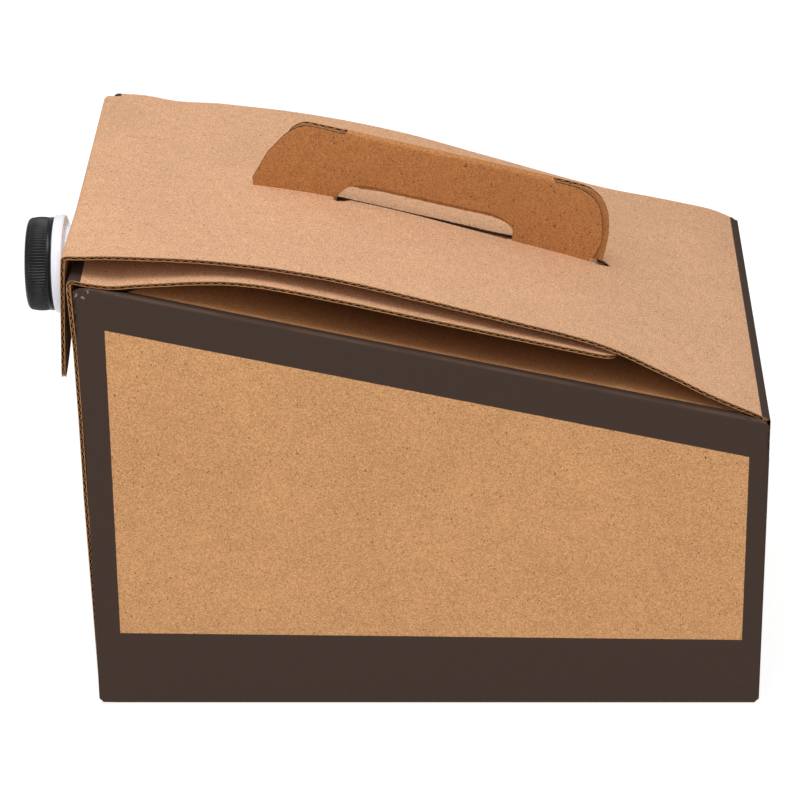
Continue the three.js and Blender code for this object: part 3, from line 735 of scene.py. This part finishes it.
# The handle's kraft is darker than the lid's as painted shade on its standing plies.
handle_shaded_outer = pressed(*kraft("handle_shaded_kraft", HANDLE_SHADED_KRAFT))
kraft_inner = pressed(*kraft("kraft_inside", shade(SIDE_KRAFT, 0.92)))
kraft_edge = pressed(*kraft("kraft_edge", EDGE_KRAFT), 0.8)
kraft_core_shade = pressed(*kraft("kraft_core_shade", CORE_SHADE_KRAFT), 0.3)
cap_black = moulded("black_cap", 0.3, linear(13, 13, 15), (2600, 2, 0.5, 0.12, 0.1), Specular_IOR_Level=0.3)
milky = moulded("milky_plastic", 0.2, linear(233, 237, 247), Specular_IOR_Level=0.6, Subsurface_Weight=0.2,
                Subsurface_Scale=0.003)
film = moulded("bag_film", 0.3, linear(200, 202, 206), (55, 4, 0.6, 0.6, 2), Metallic=0.35,
               Specular_IOR_Level=0.6)
foam = moulded("liner_foam", 0.7, linear(232, 229, 222), (3000, 2, 0.5, 0.3, 0.1))


def ease(value, low, high):
    share = min(1, max(0, (value - low) / (high - low)))
    return share * share * (3 - 2 * share)


def near_side(across):
    """One at the near edge, and zero from a third of the way over."""
    return 1 - ease(across, 0, 0.34)


def lid_surface():
    front_x = WALL_X - LID_OVERHANG
    rows = []
    for across in np.linspace(0, 1, ROWS):
        corners = [(HINGE_X, HINGE_Z + BOARD / 2, lid_y(HINGE_X, across), 0)]
        for i in range(1, LID_STATIONS):
            x = mix(HINGE_X, front_x + FOLD_RADIUS * 2, i / (LID_STATIONS - 1))
            corners.append((x, lid_top(x, across), lid_y(x, across), 0))
        top = lid_top(-HALF_LENGTH, across) + FOLD_SLOPE * LID_OVERHANG / 2
        near = near_side(across)
        front = front_x - FLAP_NEAR_OUT * near
        corners.append((front, top, lid_y(front_x, across), FOLD_RADIUS))
        splay = mix(FRONT_FLAP_SPLAY, FLAP_NEAR_SPLAY, near)
        drop = FRONT_FLAP + FLAP_NEAR_DROP * near
        for share in np.linspace(0.14, 1, 8):
            out = splay * share**FRONT_FLAP_CURL
            corners.append((front - out, top - drop * share, lid_y(front_x, across), 0))
        rows.append([(x, y, z) for x, z, y in bent_line(corners)])
    return Surface(rows, -1)


def lid_board():
    surface = lid_surface()
    middle = surface.grid[ROWS // 2]
    length, width = surface.along[-1], surface.across[-1]

    def along_at(x):
        return np.interp(-x, -middle[:LID_STATIONS, 0], surface.along[:LID_STATIONS])

    def place(x, y):
        share = (y - lid_y(x, 0)) / (lid_y(x, 1) - lid_y(x, 0))
        return along_at(x), share * width

    flap_start = LID_STATIONS + 2
    notch_u = np.interp(-SPOUT_HEIGHT, -middle[flap_start:, 2], surface.along[flap_start:])
    notch_v = -lid_y(WALL_X, 0) / (lid_y(WALL_X, 1) - lid_y(WALL_X, 0)) * width
    radius = NECK_RADIUS + NOTCH_CLEARANCE
    notch = [(length, notch_v + radius)]
    for step in range(25):
        angle = math.pi * step / 24
        notch.append((notch_u - radius * math.sin(angle), notch_v + radius * math.cos(angle)))
    notch.append((length, notch_v - radius))
    outline = [(0, 0), (0, width), (length - 3, width), (length, width - 3), *notch,
               (length, 3), (length - 3, 0)]
    holes = [[place(x, y) for x, y in opening_outline()]]
    pieces = Pieces()
    fold_u = surface.along[flap_start + 1]
    board_into(pieces, surface, outline, holes, fine_u=[(fold_u, 4, 0.45), (2, 2, 0.6)], step=4.2,
               wear=0.3, seed=3)
    return pieces.make("lid_panel", [lid_outer, kraft_inner, kraft_edge, kraft_core_shade])


def curve(line, bend, end, steps=10):
    """Carry a line on to an end in one curve that is drawn towards a bend."""
    start = line[-1]
    for step in range(1, steps + 1):
        t = step / steps
        line.append(tuple(mix(mix(a, b, t), mix(b, c, t), t) for a, b, c in zip(start, bend, end)))


def opening_outline():
    """The opening that the two plies of the handle leave in the lid, in x and y."""
    half = HANDLE_LENGTH / 2 + OPENING_MARGIN
    start = HANDLE_Y + BOARD / 2
    waist = start + HANDLE_RISE
    end = start + HANDLE_RISE * 2
    corner, round_end = 24, 8
    back_start = -half + HANDLE_BACK_INSET
    # Along the handle's foot, with the slot at its hand hole
    line = [(-half + 3, start), (-38, start), (-37.4, start - 4.6), (-36, start - 5.4), (-33.4, start - 4),
            (-30.6, start - 1.5), (35, start - 1.5), (37, start), (half - 5, start)]
    # The almond at the foot's end
    curve(line, (half + 0.5, start - 3.4), (half + 4.8, start + 0.2), 6)
    curve(line, (half + 3.4, start + 4.4), (half, start + 4.4), 6)
    # Out to the waist and back along the far side
    curve(line, (half, waist), (half - corner, waist))
    curve(line, (half, waist), (half, end - round_end))
    curve(line, (half, end), (half - round_end, end))
    line += [(back_start + round_end, end)]
    curve(line, (back_start, end), (back_start, end - round_end))
    curve(line, (-half + HANDLE_TOP_INSET, waist + 3), (-half + corner, waist))
    curve(line, (-half + 3, waist), (-half + 3, start))
    return [(HANDLE_X + along * math.cos(HANDLE_PITCH), y) for along, y in line[:-1]]


def handle_surface():
    """The folded blank of the handle: up the front ply, over the ridge and down the back ply."""
    front_y = HANDLE_Y - BOARD / 2
    radius = BOARD + PLY_GAP / 2
    section = [(front_y, up) for up in np.linspace(-BOARD, HANDLE_RISE - radius, 18)]
    for step in range(1, 12):
        angle = math.pi * step / 12
        section.append((front_y + radius - radius * math.cos(angle),
                        HANDLE_RISE - radius + radius * math.sin(angle)))
    section += [(front_y + radius * 2, up) for up in np.linspace(HANDLE_RISE - radius, CLEARANCE, 18)]
    rows = []
    cos, sin = math.cos(HANDLE_PITCH), math.sin(HANDLE_PITCH)
    for y, up in section:
        row = []
        for along in np.linspace(-90, 90, 61):
            bow = 0.25 * math.sin(along * 0.045 + 0.6) + 0.15 * math.sin(along * 0.11)
            row.append((HANDLE_X + along * cos - up * sin, y + bow * min(1, max(0, up / 12)),
                        HANDLE_BASE_Z + along * sin + up * cos))
        rows.append(row)
    return Surface(rows, 1)


def handle_board():
    surface = handle_surface()
    foot_front = BOARD
    top = foot_front + HANDLE_RISE - (BOARD + PLY_GAP / 2)
    fold = surface.across[23]
    total = surface.across[-1]
    half = HANDLE_LENGTH / 2
    zero = 90

    def front(along, up):
        return zero + along, foot_front + up

    def back(along, up):
        return zero + along, total - up + CLEARANCE

    left_ridge, right_ridge = -half + 34, half - 26.5
    line = [front(-half + 3.6, -foot_front), front(-half + 2.2, -0.4)]
    line += [front(-half + 1.2, 2.6), front(-half + 4.2, 14.6), front(-half + 9.2, 23.6)]
    curve(line, front(-half + 14, 31.2), front(-half + 22, 30.8), 8)
    line += [front(left_ridge - 1.5, 30.3)]
    curve(line, front(left_ridge, 30.4), (zero + left_ridge, fold - 0.4), 4)
    line += [(zero + left_ridge, fold + 0.4)]
    line += [back(left_ridge - 1.5, 31.6), back(-half + 20, 31.5)]
    back_start = -half + HANDLE_BACK_INSET
    curve(line, back(-half + 14, 31.2), back(-half + HANDLE_TOP_INSET + 1, 25.6), 8)
    line += [back(back_start - 3, 14), back(back_start, 4), back(back_start, 0.3)]
    line += [back(half + 2.6, 0.3), back(half + 2.4, 9)]
    curve(line, back(half + 0.6, 30.6), back(half - 17, 31.9), 12)
    line += [back(right_ridge + 1, 32), (zero + right_ridge, fold + 0.4), (zero + right_ridge, fold - 0.4)]
    line += [front(right_ridge + 1, 30.6)]
    curve(line, front(half - 8.5, 31.3), front(half - 4.6, 23.2), 10)
    curve(line, front(half - 1.2, 16.5), front(half - 0.6, 9), 8)
    line += [front(half - 1.6, 2.6), front(half - 3.2, 0), front(half - 3.4, -foot_front)]

    def hole(place, top_up, low, foot):
        points = [place(-31, foot), place(-37, foot), place(-36.8, 2.6)]
        curve(points, place(-35.4, 8.6), place(-28.4, top_up - 0.6), 8)
        points += [place(-22, top_up), place(24, top_up)]
        curve(points, place(34, top_up), place(36.8, 4.6), 8)
        points += [place(37.3, low), place(-29.5, low)]
        return points

    holes = [hole(front, 10.6, -0.9, -1.2), hole(back, 8.4, 0.9, 0.8)]
    pieces = Pieces()
    board_into(pieces, surface, line, holes, fine_v=[(fold, 4.5, 0.45)], step=3.2, wear=0.35, seed=21)
    return pieces.make("lid_handle", [handle_shaded_outer, handle_shaded_outer, kraft_edge, kraft_core_shade])


def wrap_surface():
    """The long strip of the blank: inner flap, spout wall, bottom and back wall."""
    rows = []
    flap_end = -HALF_LENGTH + INNER_END * LENGTH
    for across in np.linspace(0, 1, ROWS):
        corners = []
        for i in range(WRAP_STATIONS):
            x = mix(flap_end, WALL_X + FOLD_RADIUS * 2, i / (WRAP_STATIONS - 1))
            corners.append((x, inner_top(x, across), inner_y(x, across), 0))
        side = across * 2 - 1
        top_y, middle_y, low_y = (side * (HALF_WIDTH - inset) for inset in (0.4, 1.6, 2.6))
        bottom_y = side * (HALF_WIDTH - FOLD_RADIUS)
        corner_top = fold_height(-HALF_LENGTH) + mix(inner_near(0), inner_far(0), across)
        near = near_side(across)
        corner_top += 1.4 * near
        top_x = WALL_X - WALL_FLARE * near
        corners.append((top_x, corner_top, inner_y(WALL_X, across), FOLD_RADIUS))
        lean = WALL_LEAN * FOLD_RADIUS * 2 / HEIGHT_FRONT
        corners.append((top_x + lean, corner_top - FOLD_RADIUS * 2, top_y, 0))
        for down, out, taper in ((0.15, 0.9, 0.3), (0.3, 0.7, 0.6), (0.5, 0.8, 1)):
            x = mix(WALL_X, -HALF_LENGTH, down) - out * near
            corners.append((x, HEIGHT_FRONT * (1 - down), mix(top_y, middle_y, taper), 0))
        corners += [
            (-HALF_LENGTH, FOLD_RADIUS * 3, low_y, 0), (-HALF_LENGTH, 0, bottom_y, FOLD_RADIUS),
            (HALF_LENGTH, 0, bottom_y, FOLD_RADIUS), (HALF_LENGTH, FOLD_RADIUS * 3, low_y, 0),
            (HALF_LENGTH, BACK_WALL_TOP, low_y, 0),
        ]
        rows.append([(x, y, z) for x, z, y in bent_line(corners)])
    return Surface(rows, -1)


def wrap_board():
    surface = wrap_surface()
    length, width = surface.along[-1], surface.across[-1]
    wall_start = WRAP_STATIONS + BEND_STEPS
    wall_end = wall_start + 6
    heights = surface.grid[ROWS // 2, wall_start:wall_end, 2]
    neck_u = np.interp(-SPOUT_HEIGHT, -heights, surface.along[wall_start:wall_end])
    radius = NECK_RADIUS + CLEARANCE * 2
    hole = []
    for step in range(48):
        angle = 2 * math.pi * step / 48
        hole.append((neck_u + radius * math.cos(angle), width / 2 + radius * math.sin(angle)))
    corner = 9
    outline = [(corner, 0), (length, 0), (length, width), (corner, width)]
    curve(outline, (0, width), (0, width - corner), 5)
    outline += [(0, corner)]
    curve(outline, (0, 0), (corner, 0), 5)
    half_bend = BEND_STEPS // 2
    middles = (WRAP_STATIONS + half_bend, wall_end + half_bend, wall_end + half_bend + BEND_STEPS + 1)
    folds = [surface.along[i] for i in middles]
    bottom_start, bottom_end = folds[1:]

    def joined(points):
        """True where the bottom runs on into a long side, with no raw edge."""
        edge = np.minimum(points[:, 1], width - points[:, 1]) < 1
        return edge & (points[:, 0] > bottom_start - 2) & (points[:, 0] < bottom_end + 2)

    pieces = Pieces()
    board_into(pieces, surface, outline[:-1], [hole], fine_u=[(fold, 4.5, 0.5) for fold in folds],
               seed=41, joined=joined)
    return pieces.make("carton_wrap", [wall_outer, kraft_inner, kraft_edge, kraft_core_shade])


def side_surface(side, rise):
    """A long side: up from the bottom fold, over the top fold, with a corner fold at each end."""
    radius = FOLD_RADIUS
    flap_ys = np.linspace(-HALF_WIDTH + GLUE_FLAP, -HALF_WIDTH + 2.5, FLAP_STATIONS)
    line = [(-SIDE_END, y) for y in flap_ys]
    line += [(-SIDE_END - out, -HALF_WIDTH + move) for out, move in SIDE_BEAD]
    line += [(x, -HALF_WIDTH) for x in np.linspace(-SIDE_END + 0.5, SIDE_END - 0.5, SIDE_STATIONS)]
    line += [(SIDE_END + out, -HALF_WIDTH + move) for out, move in reversed(SIDE_BEAD)]
    line += [(SIDE_END, y) for y in flap_ys[::-1]]
    bend = [math.pi / 2 * step / BEND_STEPS for step in range(1, BEND_STEPS)]
    columns = []
    for x, y in line:
        fold = fold_height(x)
        lift = rise * math.sin(math.pi * min(1, max(0, share_at(x))))
        column = [(mix(radius, BOTTOM_STUB, t), 0.04 * t) for t in np.linspace(1, 0, STUB_STATIONS)]
        for angle in bend:
            column.append((radius * (1 - math.sin(angle)), radius * (1 - math.cos(angle))))
        column += [(0.0, z) for z in np.linspace(radius, fold - radius, WALL_STATIONS)]
        for angle in bend:
            column.append((radius * (1 - math.cos(angle)), fold - radius + radius * math.sin(angle)))
        for t in np.linspace(0, 1, FLAP_STATIONS):
            column.append((mix(radius, DUST_FLAP, t), fold + lift * t))
        flare = SIDE_FLARE * ease(-x, HALF_LENGTH - FLARE_REACH, HALF_LENGTH - 4) if side > 0 else 0
        columns.append([(x - flare * ease(z, FLARE_LOW, HEIGHT_FRONT), (y + move) * side, z)
                        for move, z in column])
    grid = np.array(columns).transpose(1, 0, 2)
    return Surface(grid, side)


def side_board(side, rise, name):
    surface = side_surface(side, rise)
    u, v = surface.along, surface.across
    first = FLAP_STATIONS + len(SIDE_BEAD)
    last = first + SIDE_STATIONS - 1
    foot = STUB_STATIONS + BEND_STEPS - 2
    start, end = u[first + 1], u[last - 1]
    foot_start, foot_end = u[first], u[last]
    first_fold, last_fold = u[first - 4], u[last + 4]
    low, bottom, top, flap = (v[i] for i in (0, foot, foot + WALL_STATIONS, -1))
    drop = GLUE_FLAP_DROP
    reach_start = start - FOLD_RADIUS + DUST_FLAP_END
    reach_end = end + FOLD_RADIUS - DUST_FLAP_HINGE_END
    tip = top + FOLD_RADIUS + BOARD
    outline = [
        (foot_start + 1, low), (foot_end - 1, low), (foot_end, bottom - 2.4), (foot_end + 1, bottom + 0.6),
        (u[-1], bottom + 3),
        (u[-1], top - drop), (last_fold + 0.6, top - drop), (last_fold + 0.2, top - 0.5),
        (foot_end + 0.4, top + 1.4), (foot_end - 0.8, top + 2.9), (reach_end + 2.4, top + 3.2),
        (reach_end, tip), (reach_end - DUST_FLAP_TAPER / 2, flap), (reach_start + DUST_FLAP_TAPER, flap),
        (reach_start, tip), (start, top + 2.8), (foot_start + 0.6, top + 1.8), (first_fold - 0.2, top - 1),
        (first_fold - 0.6, top - drop), (u[0], top - drop), (u[0], bottom + 3),
        (foot_start - 1, bottom + 0.6), (foot_start, bottom - 2.4),
    ]
    bend_middles = [v[foot - 3], v[foot + WALL_STATIONS + 3]]
    pieces = Pieces()
    board_into(pieces, surface, outline, fine_u=[(fold, 3.2, 0.5) for fold in (first_fold, last_fold)],
               fine_v=[(fold, 3, 0.5) for fold in bend_middles], seed=60 + side)
    return pieces.make(name, [side_outer, kraft_inner, kraft_edge, kraft_core_shade])


def hinge_skin():
    """The outer paper that runs over the hinge fold, from the back wall to the lid."""
    rows = []
    for share in np.linspace(0, 1, 15):
        below, over = max(0, 1 - share / 0.2), max(0, (share - 0.8) / 0.2)
        angle = math.pi / 2 * min(1, max(0, (share - 0.2) / 0.6))
        rows.append((HINGE_X + BOARD / 2 * math.cos(angle) - SKIN_ON_LID * over,
                     HINGE_Z + BOARD / 2 * math.sin(angle) - SKIN_ON_WALL * below + 0.25 * over))
    pieces = Pieces()
    for inset in (0, SKIN_THICK):
        lines = []
        for y in np.linspace(lid_y(HINGE_X, 0), lid_y(HINGE_X, 1), 60):
            lines.append([(x - inset, y, z - inset) for x, z in rows])
        pieces.grid(lines, 0, closed=False)
    return pieces.make("hinge_skin", [wall_outer])


def spout_ring(radius, out, count):
    """Points round the spout's axis, at a distance out from the wall."""
    angles = np.arange(count) / count * 2 * math.pi
    across, up = radius * np.cos(angles), radius * np.sin(angles)
    return np.stack([np.full(count, SPOUT_FACE_X - out), across, SPOUT_HEIGHT + up], axis=1)


def turned(pieces, profile, count):
    pieces.grid([spout_ring(radius, out, count) for radius, out in profile], 0)


def thread(pieces, root, crest, start):
    """A helical ridge that fades in and out at its ends, its root and crest at two radii."""
    steps = int(THREAD_TURNS * 72)
    rows = []
    for step in range(steps + 1):
        share = step / steps
        fade = min(1, share / 0.08, (1 - share) / 0.08)
        angle = step / 72 * 2 * math.pi
        out = start + step / 72 * THREAD_PITCH
        top = mix(root, crest, fade)
        row = []
        for radius, shift in ((root, -0.5), (mix(root, top, 0.75), -0.34), (top, -0.16), (top, 0.16),
                              (mix(root, top, 0.75), 0.34), (root, 0.5)):
            row.append((SPOUT_FACE_X - out - shift * THREAD_BASE, radius * math.cos(angle),
                        SPOUT_HEIGHT - radius * math.sin(angle)))
        rows.append(row)
    firsts = pieces.grid(rows, 0)
    pieces.cap(firsts[0], 6, 0)
    pieces.cap(firsts[-1], 6, 0, flip=True)


def neck():
    pieces = Pieces()
    flange_out = -BOARD - CLEARANCE - WALL_LEAN * FLANGE_RADIUS / HEIGHT_FRONT
    flange_in = flange_out - FLANGE_THICK
    ring_end = RING_START + RING_WIDTH
    bore, neck_radius, ring, flange = BORE_RADIUS, NECK_RADIUS, RING_RADIUS, FLANGE_RADIUS
    profile = [
        (bore, NECK_REACH - 0.5), (bore + 0.4, NECK_REACH), (neck_radius - 0.5, NECK_REACH),
        (neck_radius, NECK_REACH - 0.6), (neck_radius, ring_end + 0.5), (neck_radius + 0.5, ring_end),
        (ring - 0.9, ring_end), (ring - 0.25, ring_end - 0.25), (ring, ring_end - 0.9),
        (ring, RING_START + 1.1), (ring - 0.3, RING_START + 0.4), (ring - 1.1, RING_START),
        (neck_radius + 0.6, RING_START), (neck_radius, RING_START - 0.6), (neck_radius, flange_out + 0.8),
        (neck_radius + 0.6, flange_out), (flange - 0.5, flange_out), (flange, flange_out - 0.5),
        (flange, flange_in + 0.6), (flange - 1, flange_in), (bore, flange_in), (bore, NECK_REACH - 0.5),
    ]
    turned(pieces, profile, 128)
    thread_start = NECK_REACH - THREAD_TURNS * THREAD_PITCH - THREAD_BASE
    thread(pieces, NECK_RADIUS - 0.2, NECK_RADIUS + THREAD_DEPTH, thread_start)
    return pieces.make("neck_fitment", [milky], sharp=30)


CAP_START = RING_START + RING_WIDTH + CAP_RING_GAP
CAP_INSIDE = NECK_REACH + CLEARANCE * 2 + LINER_THICK
CAP_BORE = NECK_RADIUS + THREAD_DEPTH + THREAD_CLEARANCE
CAP_END = CAP_INSIDE + CAP_TOP


def cap():
    pieces = Pieces()
    count = CAP_RIBS * 8
    wave = 0.5 - 0.5 * np.cos(np.arange(count) / 8 * 2 * math.pi)
    wave = wave**1.6

    def ribbed(radius, out, depth=0):
        return spout_ring(radius - depth * wave, out, count)

    def crowned(share):
        return CAP_RADIUS - CAP_CROWN * (share * 2 - 1) ** 2

    shoulder = 2.1
    rows = [ribbed(CAP_BORE, CAP_INSIDE)]
    for radius, along in ((CAP_BORE, 0.4), (CAP_BORE + 0.3, 0), (CAP_RADIUS - 0.45, 0),
                          (CAP_RADIUS - 0.12, 0.3), (CAP_RADIUS - 0.1, 1.5), (CAP_RADIUS - 0.35, 1.65)):
        rows.append(ribbed(radius, CAP_START + along))
    rib_start, rib_end = CAP_START + 1.9, CAP_END - shoulder
    for step in range(13):
        share = step / 12
        rows.append(ribbed(crowned(share), mix(rib_start, rib_end, share), CAP_RIB_DEPTH))
    for step in range(1, 9):
        angle = math.pi / 2 * step / 8
        fade = max(0, 1 - step / 5)
        rows.append(ribbed(crowned(1) - shoulder * (1 - math.cos(angle)),
                           CAP_END - shoulder * (1 - math.sin(angle)), CAP_RIB_DEPTH * fade))
    for radius, dip in ((15.2, 0), (14.9, 0.25), (14.5, 0.3), (6, 0.35), (1.6, 0.36), (1.4, 0.2),
                        (0.9, 0.12)):
        rows.append(ribbed(radius, CAP_END - dip))
    firsts = pieces.grid(rows, 0)
    pieces.cap(firsts[-1], count, 0)
    pieces.cap(firsts[0], count, 0, flip=True)
    start = NECK_REACH - THREAD_TURNS * THREAD_PITCH - THREAD_BASE + THREAD_PITCH / 2
    thread(pieces, CAP_BORE + 0.2, NECK_RADIUS + THREAD_CLEARANCE, start)
    return pieces.make("cap_ribbed", [cap_black], sharp=50)


def liner():
    pieces = Pieces()
    start = NECK_REACH + CLEARANCE
    turned(pieces, [(0.01, start), (NECK_RADIUS - 0.2, start), (NECK_RADIUS, start + 0.2),
                    (NECK_RADIUS, start + LINER_THICK - 0.2), (NECK_RADIUS - 0.2, start + LINER_THICK),
                    (0.01, start + LINER_THICK)], 96)
    return pieces.make("cap_disc", [foam])


def bag():
    """A full film bag with soft ends and creased skin, and a mouth at the spout."""
    front_x = CLEARANCE * 2 + BOARD - SIDE_END
    back_x = HALF_LENGTH - BOARD * 2 - BAG_GAP
    rows = []
    count = 160
    for share in np.linspace(0, 1, 90):
        closer = 0.5 - 0.5 * math.cos(math.pi * share)
        x = mix(front_x, back_x, mix(share, closer, 0.7))
        from_end = min(x - front_x, back_x - x)
        drawn = 10 * max(0, 1 - from_end / 14) ** 2
        high = fold_height(x) + DUST_RISE_NEAR - BOARD - BAG_GAP - drawn
        low = BOARD + BAG_GAP + drawn
        wide = HALF_WIDTH - BOARD - BAG_GAP - drawn
        middle = (high + low) / 2
        tall = (high - low) / 2
        row = []
        for k in range(count):
            angle = k / count * 2 * math.pi
            cos, sin = math.cos(angle), math.sin(angle)
            y = wide * math.copysign(abs(cos) ** BAG_SQUARENESS, cos)
            z = middle + tall * math.copysign(abs(sin) ** BAG_SQUARENESS, sin)
            here = np.array([x, y, z])
            broad = noise.noise(Vector(here * 0.03))
            crease = noise.ridged_multi_fractal(Vector(here * 0.022), 0.9, 2.1, 4, 1, 2)
            inset = 1.2 * (0.5 + 0.5 * broad) + 0.9 * min(1.6, abs(crease))
            pull = 1 - inset / 90
            row.append((x, y * pull, middle + (z - middle) * pull))
        rows.append(row)
    pieces = Pieces()
    firsts = pieces.grid(rows, 0)
    for ring, first, flip in ((rows[0], firsts[0], False), (rows[-1], firsts[-1], True)):
        centre = np.mean(ring, axis=0)
        inner = [first]
        for share in (0.75, 0.5, 0.25):
            inner.append(pieces.add(centre + (np.array(ring) - centre) * share))
        for a, b in zip(inner[:-1], inner[1:]):
            pieces.strip(np.arange(count) + a, np.arange(count) + b, 0)
        pieces.cap(inner[-1], count, 0, flip)
    mouth = -BOARD - CLEARANCE - FLANGE_THICK - 0.6
    flange = FLANGE_RADIUS
    turned(pieces, [(BORE_RADIUS + 0.4, mouth), (flange - 2, mouth), (flange + 2, mouth - 2)], 64)
    return pieces.make("film_bag", [film], sharp=60)


lid_panel = lid_board()
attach(lid_panel, "lid")
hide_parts("carton_lid")
lid_handle = handle_board()
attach(lid_handle, "lid")
wrap = wrap_board()
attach(wrap, "carton")
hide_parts("carton_body")
for side_name, side_sign, side_rise in (("near", 1, DUST_RISE_NEAR), ("far", -1, DUST_RISE_FAR)):
    side_piece = side_board(side_sign, side_rise, "carton_side_" + side_name)
    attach(side_piece, "carton")
skin = hinge_skin()
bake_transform(skin)
fitment = neck()
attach(fitment, "carton")
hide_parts("spout_neck")
screw_cap = cap()
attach(screw_cap, "cap")
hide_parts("screw_cap")
disc = liner()
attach(disc, "liner")
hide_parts("cap_liner")
film_bag = bag()
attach(film_bag, "carton")
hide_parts("inner_bag")

# Floor and light
FLOOR_REACH = 6
FLOOR_Z = -0.4 * MM
floor_mesh = bpy.data.meshes.new("floor")
floor_corners = [(x * FLOOR_REACH, y * FLOOR_REACH, FLOOR_Z) for x, y in ((-1, -1), (1, -1), (1, 1), (-1, 1))]
floor_mesh.from_pydata(floor_corners, [], [(0, 1, 2, 3)])
floor = linked("floor", floor_mesh)
floor_paint = Shader("white_floor", 0.9, Base_Color=(0.25, 0.25, 0.25, 1), Emission_Color=(1, 1, 1, 1),
                     Emission_Strength=0.86)
floor_mesh.materials.append(floor_paint.material)

world = bpy.data.worlds.new("white_room")
bpy.context.scene.world = world
world.use_nodes = True
room = world.node_tree.nodes["Background"].inputs
room["Color"].default_value = (1, 1, 1, 1)
room["Strength"].default_value = 0.53


def area_light(name, place, target, size, power):
    data = bpy.data.lights.new(name, "AREA")
    data.shape = "RECTANGLE"
    data.size, data.size_y = size
    data.energy = power
    light = linked(name, data)
    light.location = place
    light.rotation_mode = "QUATERNION"
    light.rotation_quaternion = (Vector(target) - Vector(place)).to_track_quat("-Z", "Y")


area_light("overhead", (-0.1, -0.22, 1.1), (0, -0.1, 0.15), (0.9, 0.5), 6.8)
area_light("strip", (-0.29, -0.92, 0.72), (-0.16, 0, 0.154), (0.06, 1.3), 2.0)
area_light("from_camera", (0.45, -1.7, 0.7), (0, 0, 0.1), (1.4, 0.9), 0.9)

# The photograph's camera
IMAGE_PIXELS = 800
SENSOR = 36
FOCAL_PIXELS = 3589.268
DISTANCE = 1514.256
ELEVATION = math.radians(27.377)
YAW = math.radians(1.118)
ROLL = math.radians(-0.591)
TARGET = Vector((-12.345, 0, 89.821))
camera_data = bpy.data.cameras.new("photo_camera")
camera_data.lens = FOCAL_PIXELS / IMAGE_PIXELS * SENSOR
camera_data.sensor_width = SENSOR
camera = linked("photo_camera", camera_data)
level = math.cos(ELEVATION)
back = Vector((math.sin(YAW) * level, -math.cos(YAW) * level, math.sin(ELEVATION)))
ahead = -back
right = ahead.cross(Vector((0, 0, 1))).normalized()
above = right.cross(ahead)
turned_right = right * math.cos(ROLL) + above * math.sin(ROLL)
turned_above = above * math.cos(ROLL) - right * math.sin(ROLL)
pose = Matrix((turned_right, turned_above, back)).transposed().to_4x4()
pose.translation = (TARGET + back * DISTANCE) * MM
camera.matrix_world = pose
camera_data.clip_start = 0.05
camera_data.clip_end = 20
bpy.context.scene.camera = camera
bpy.context.scene.view_settings.view_transform = "Standard"
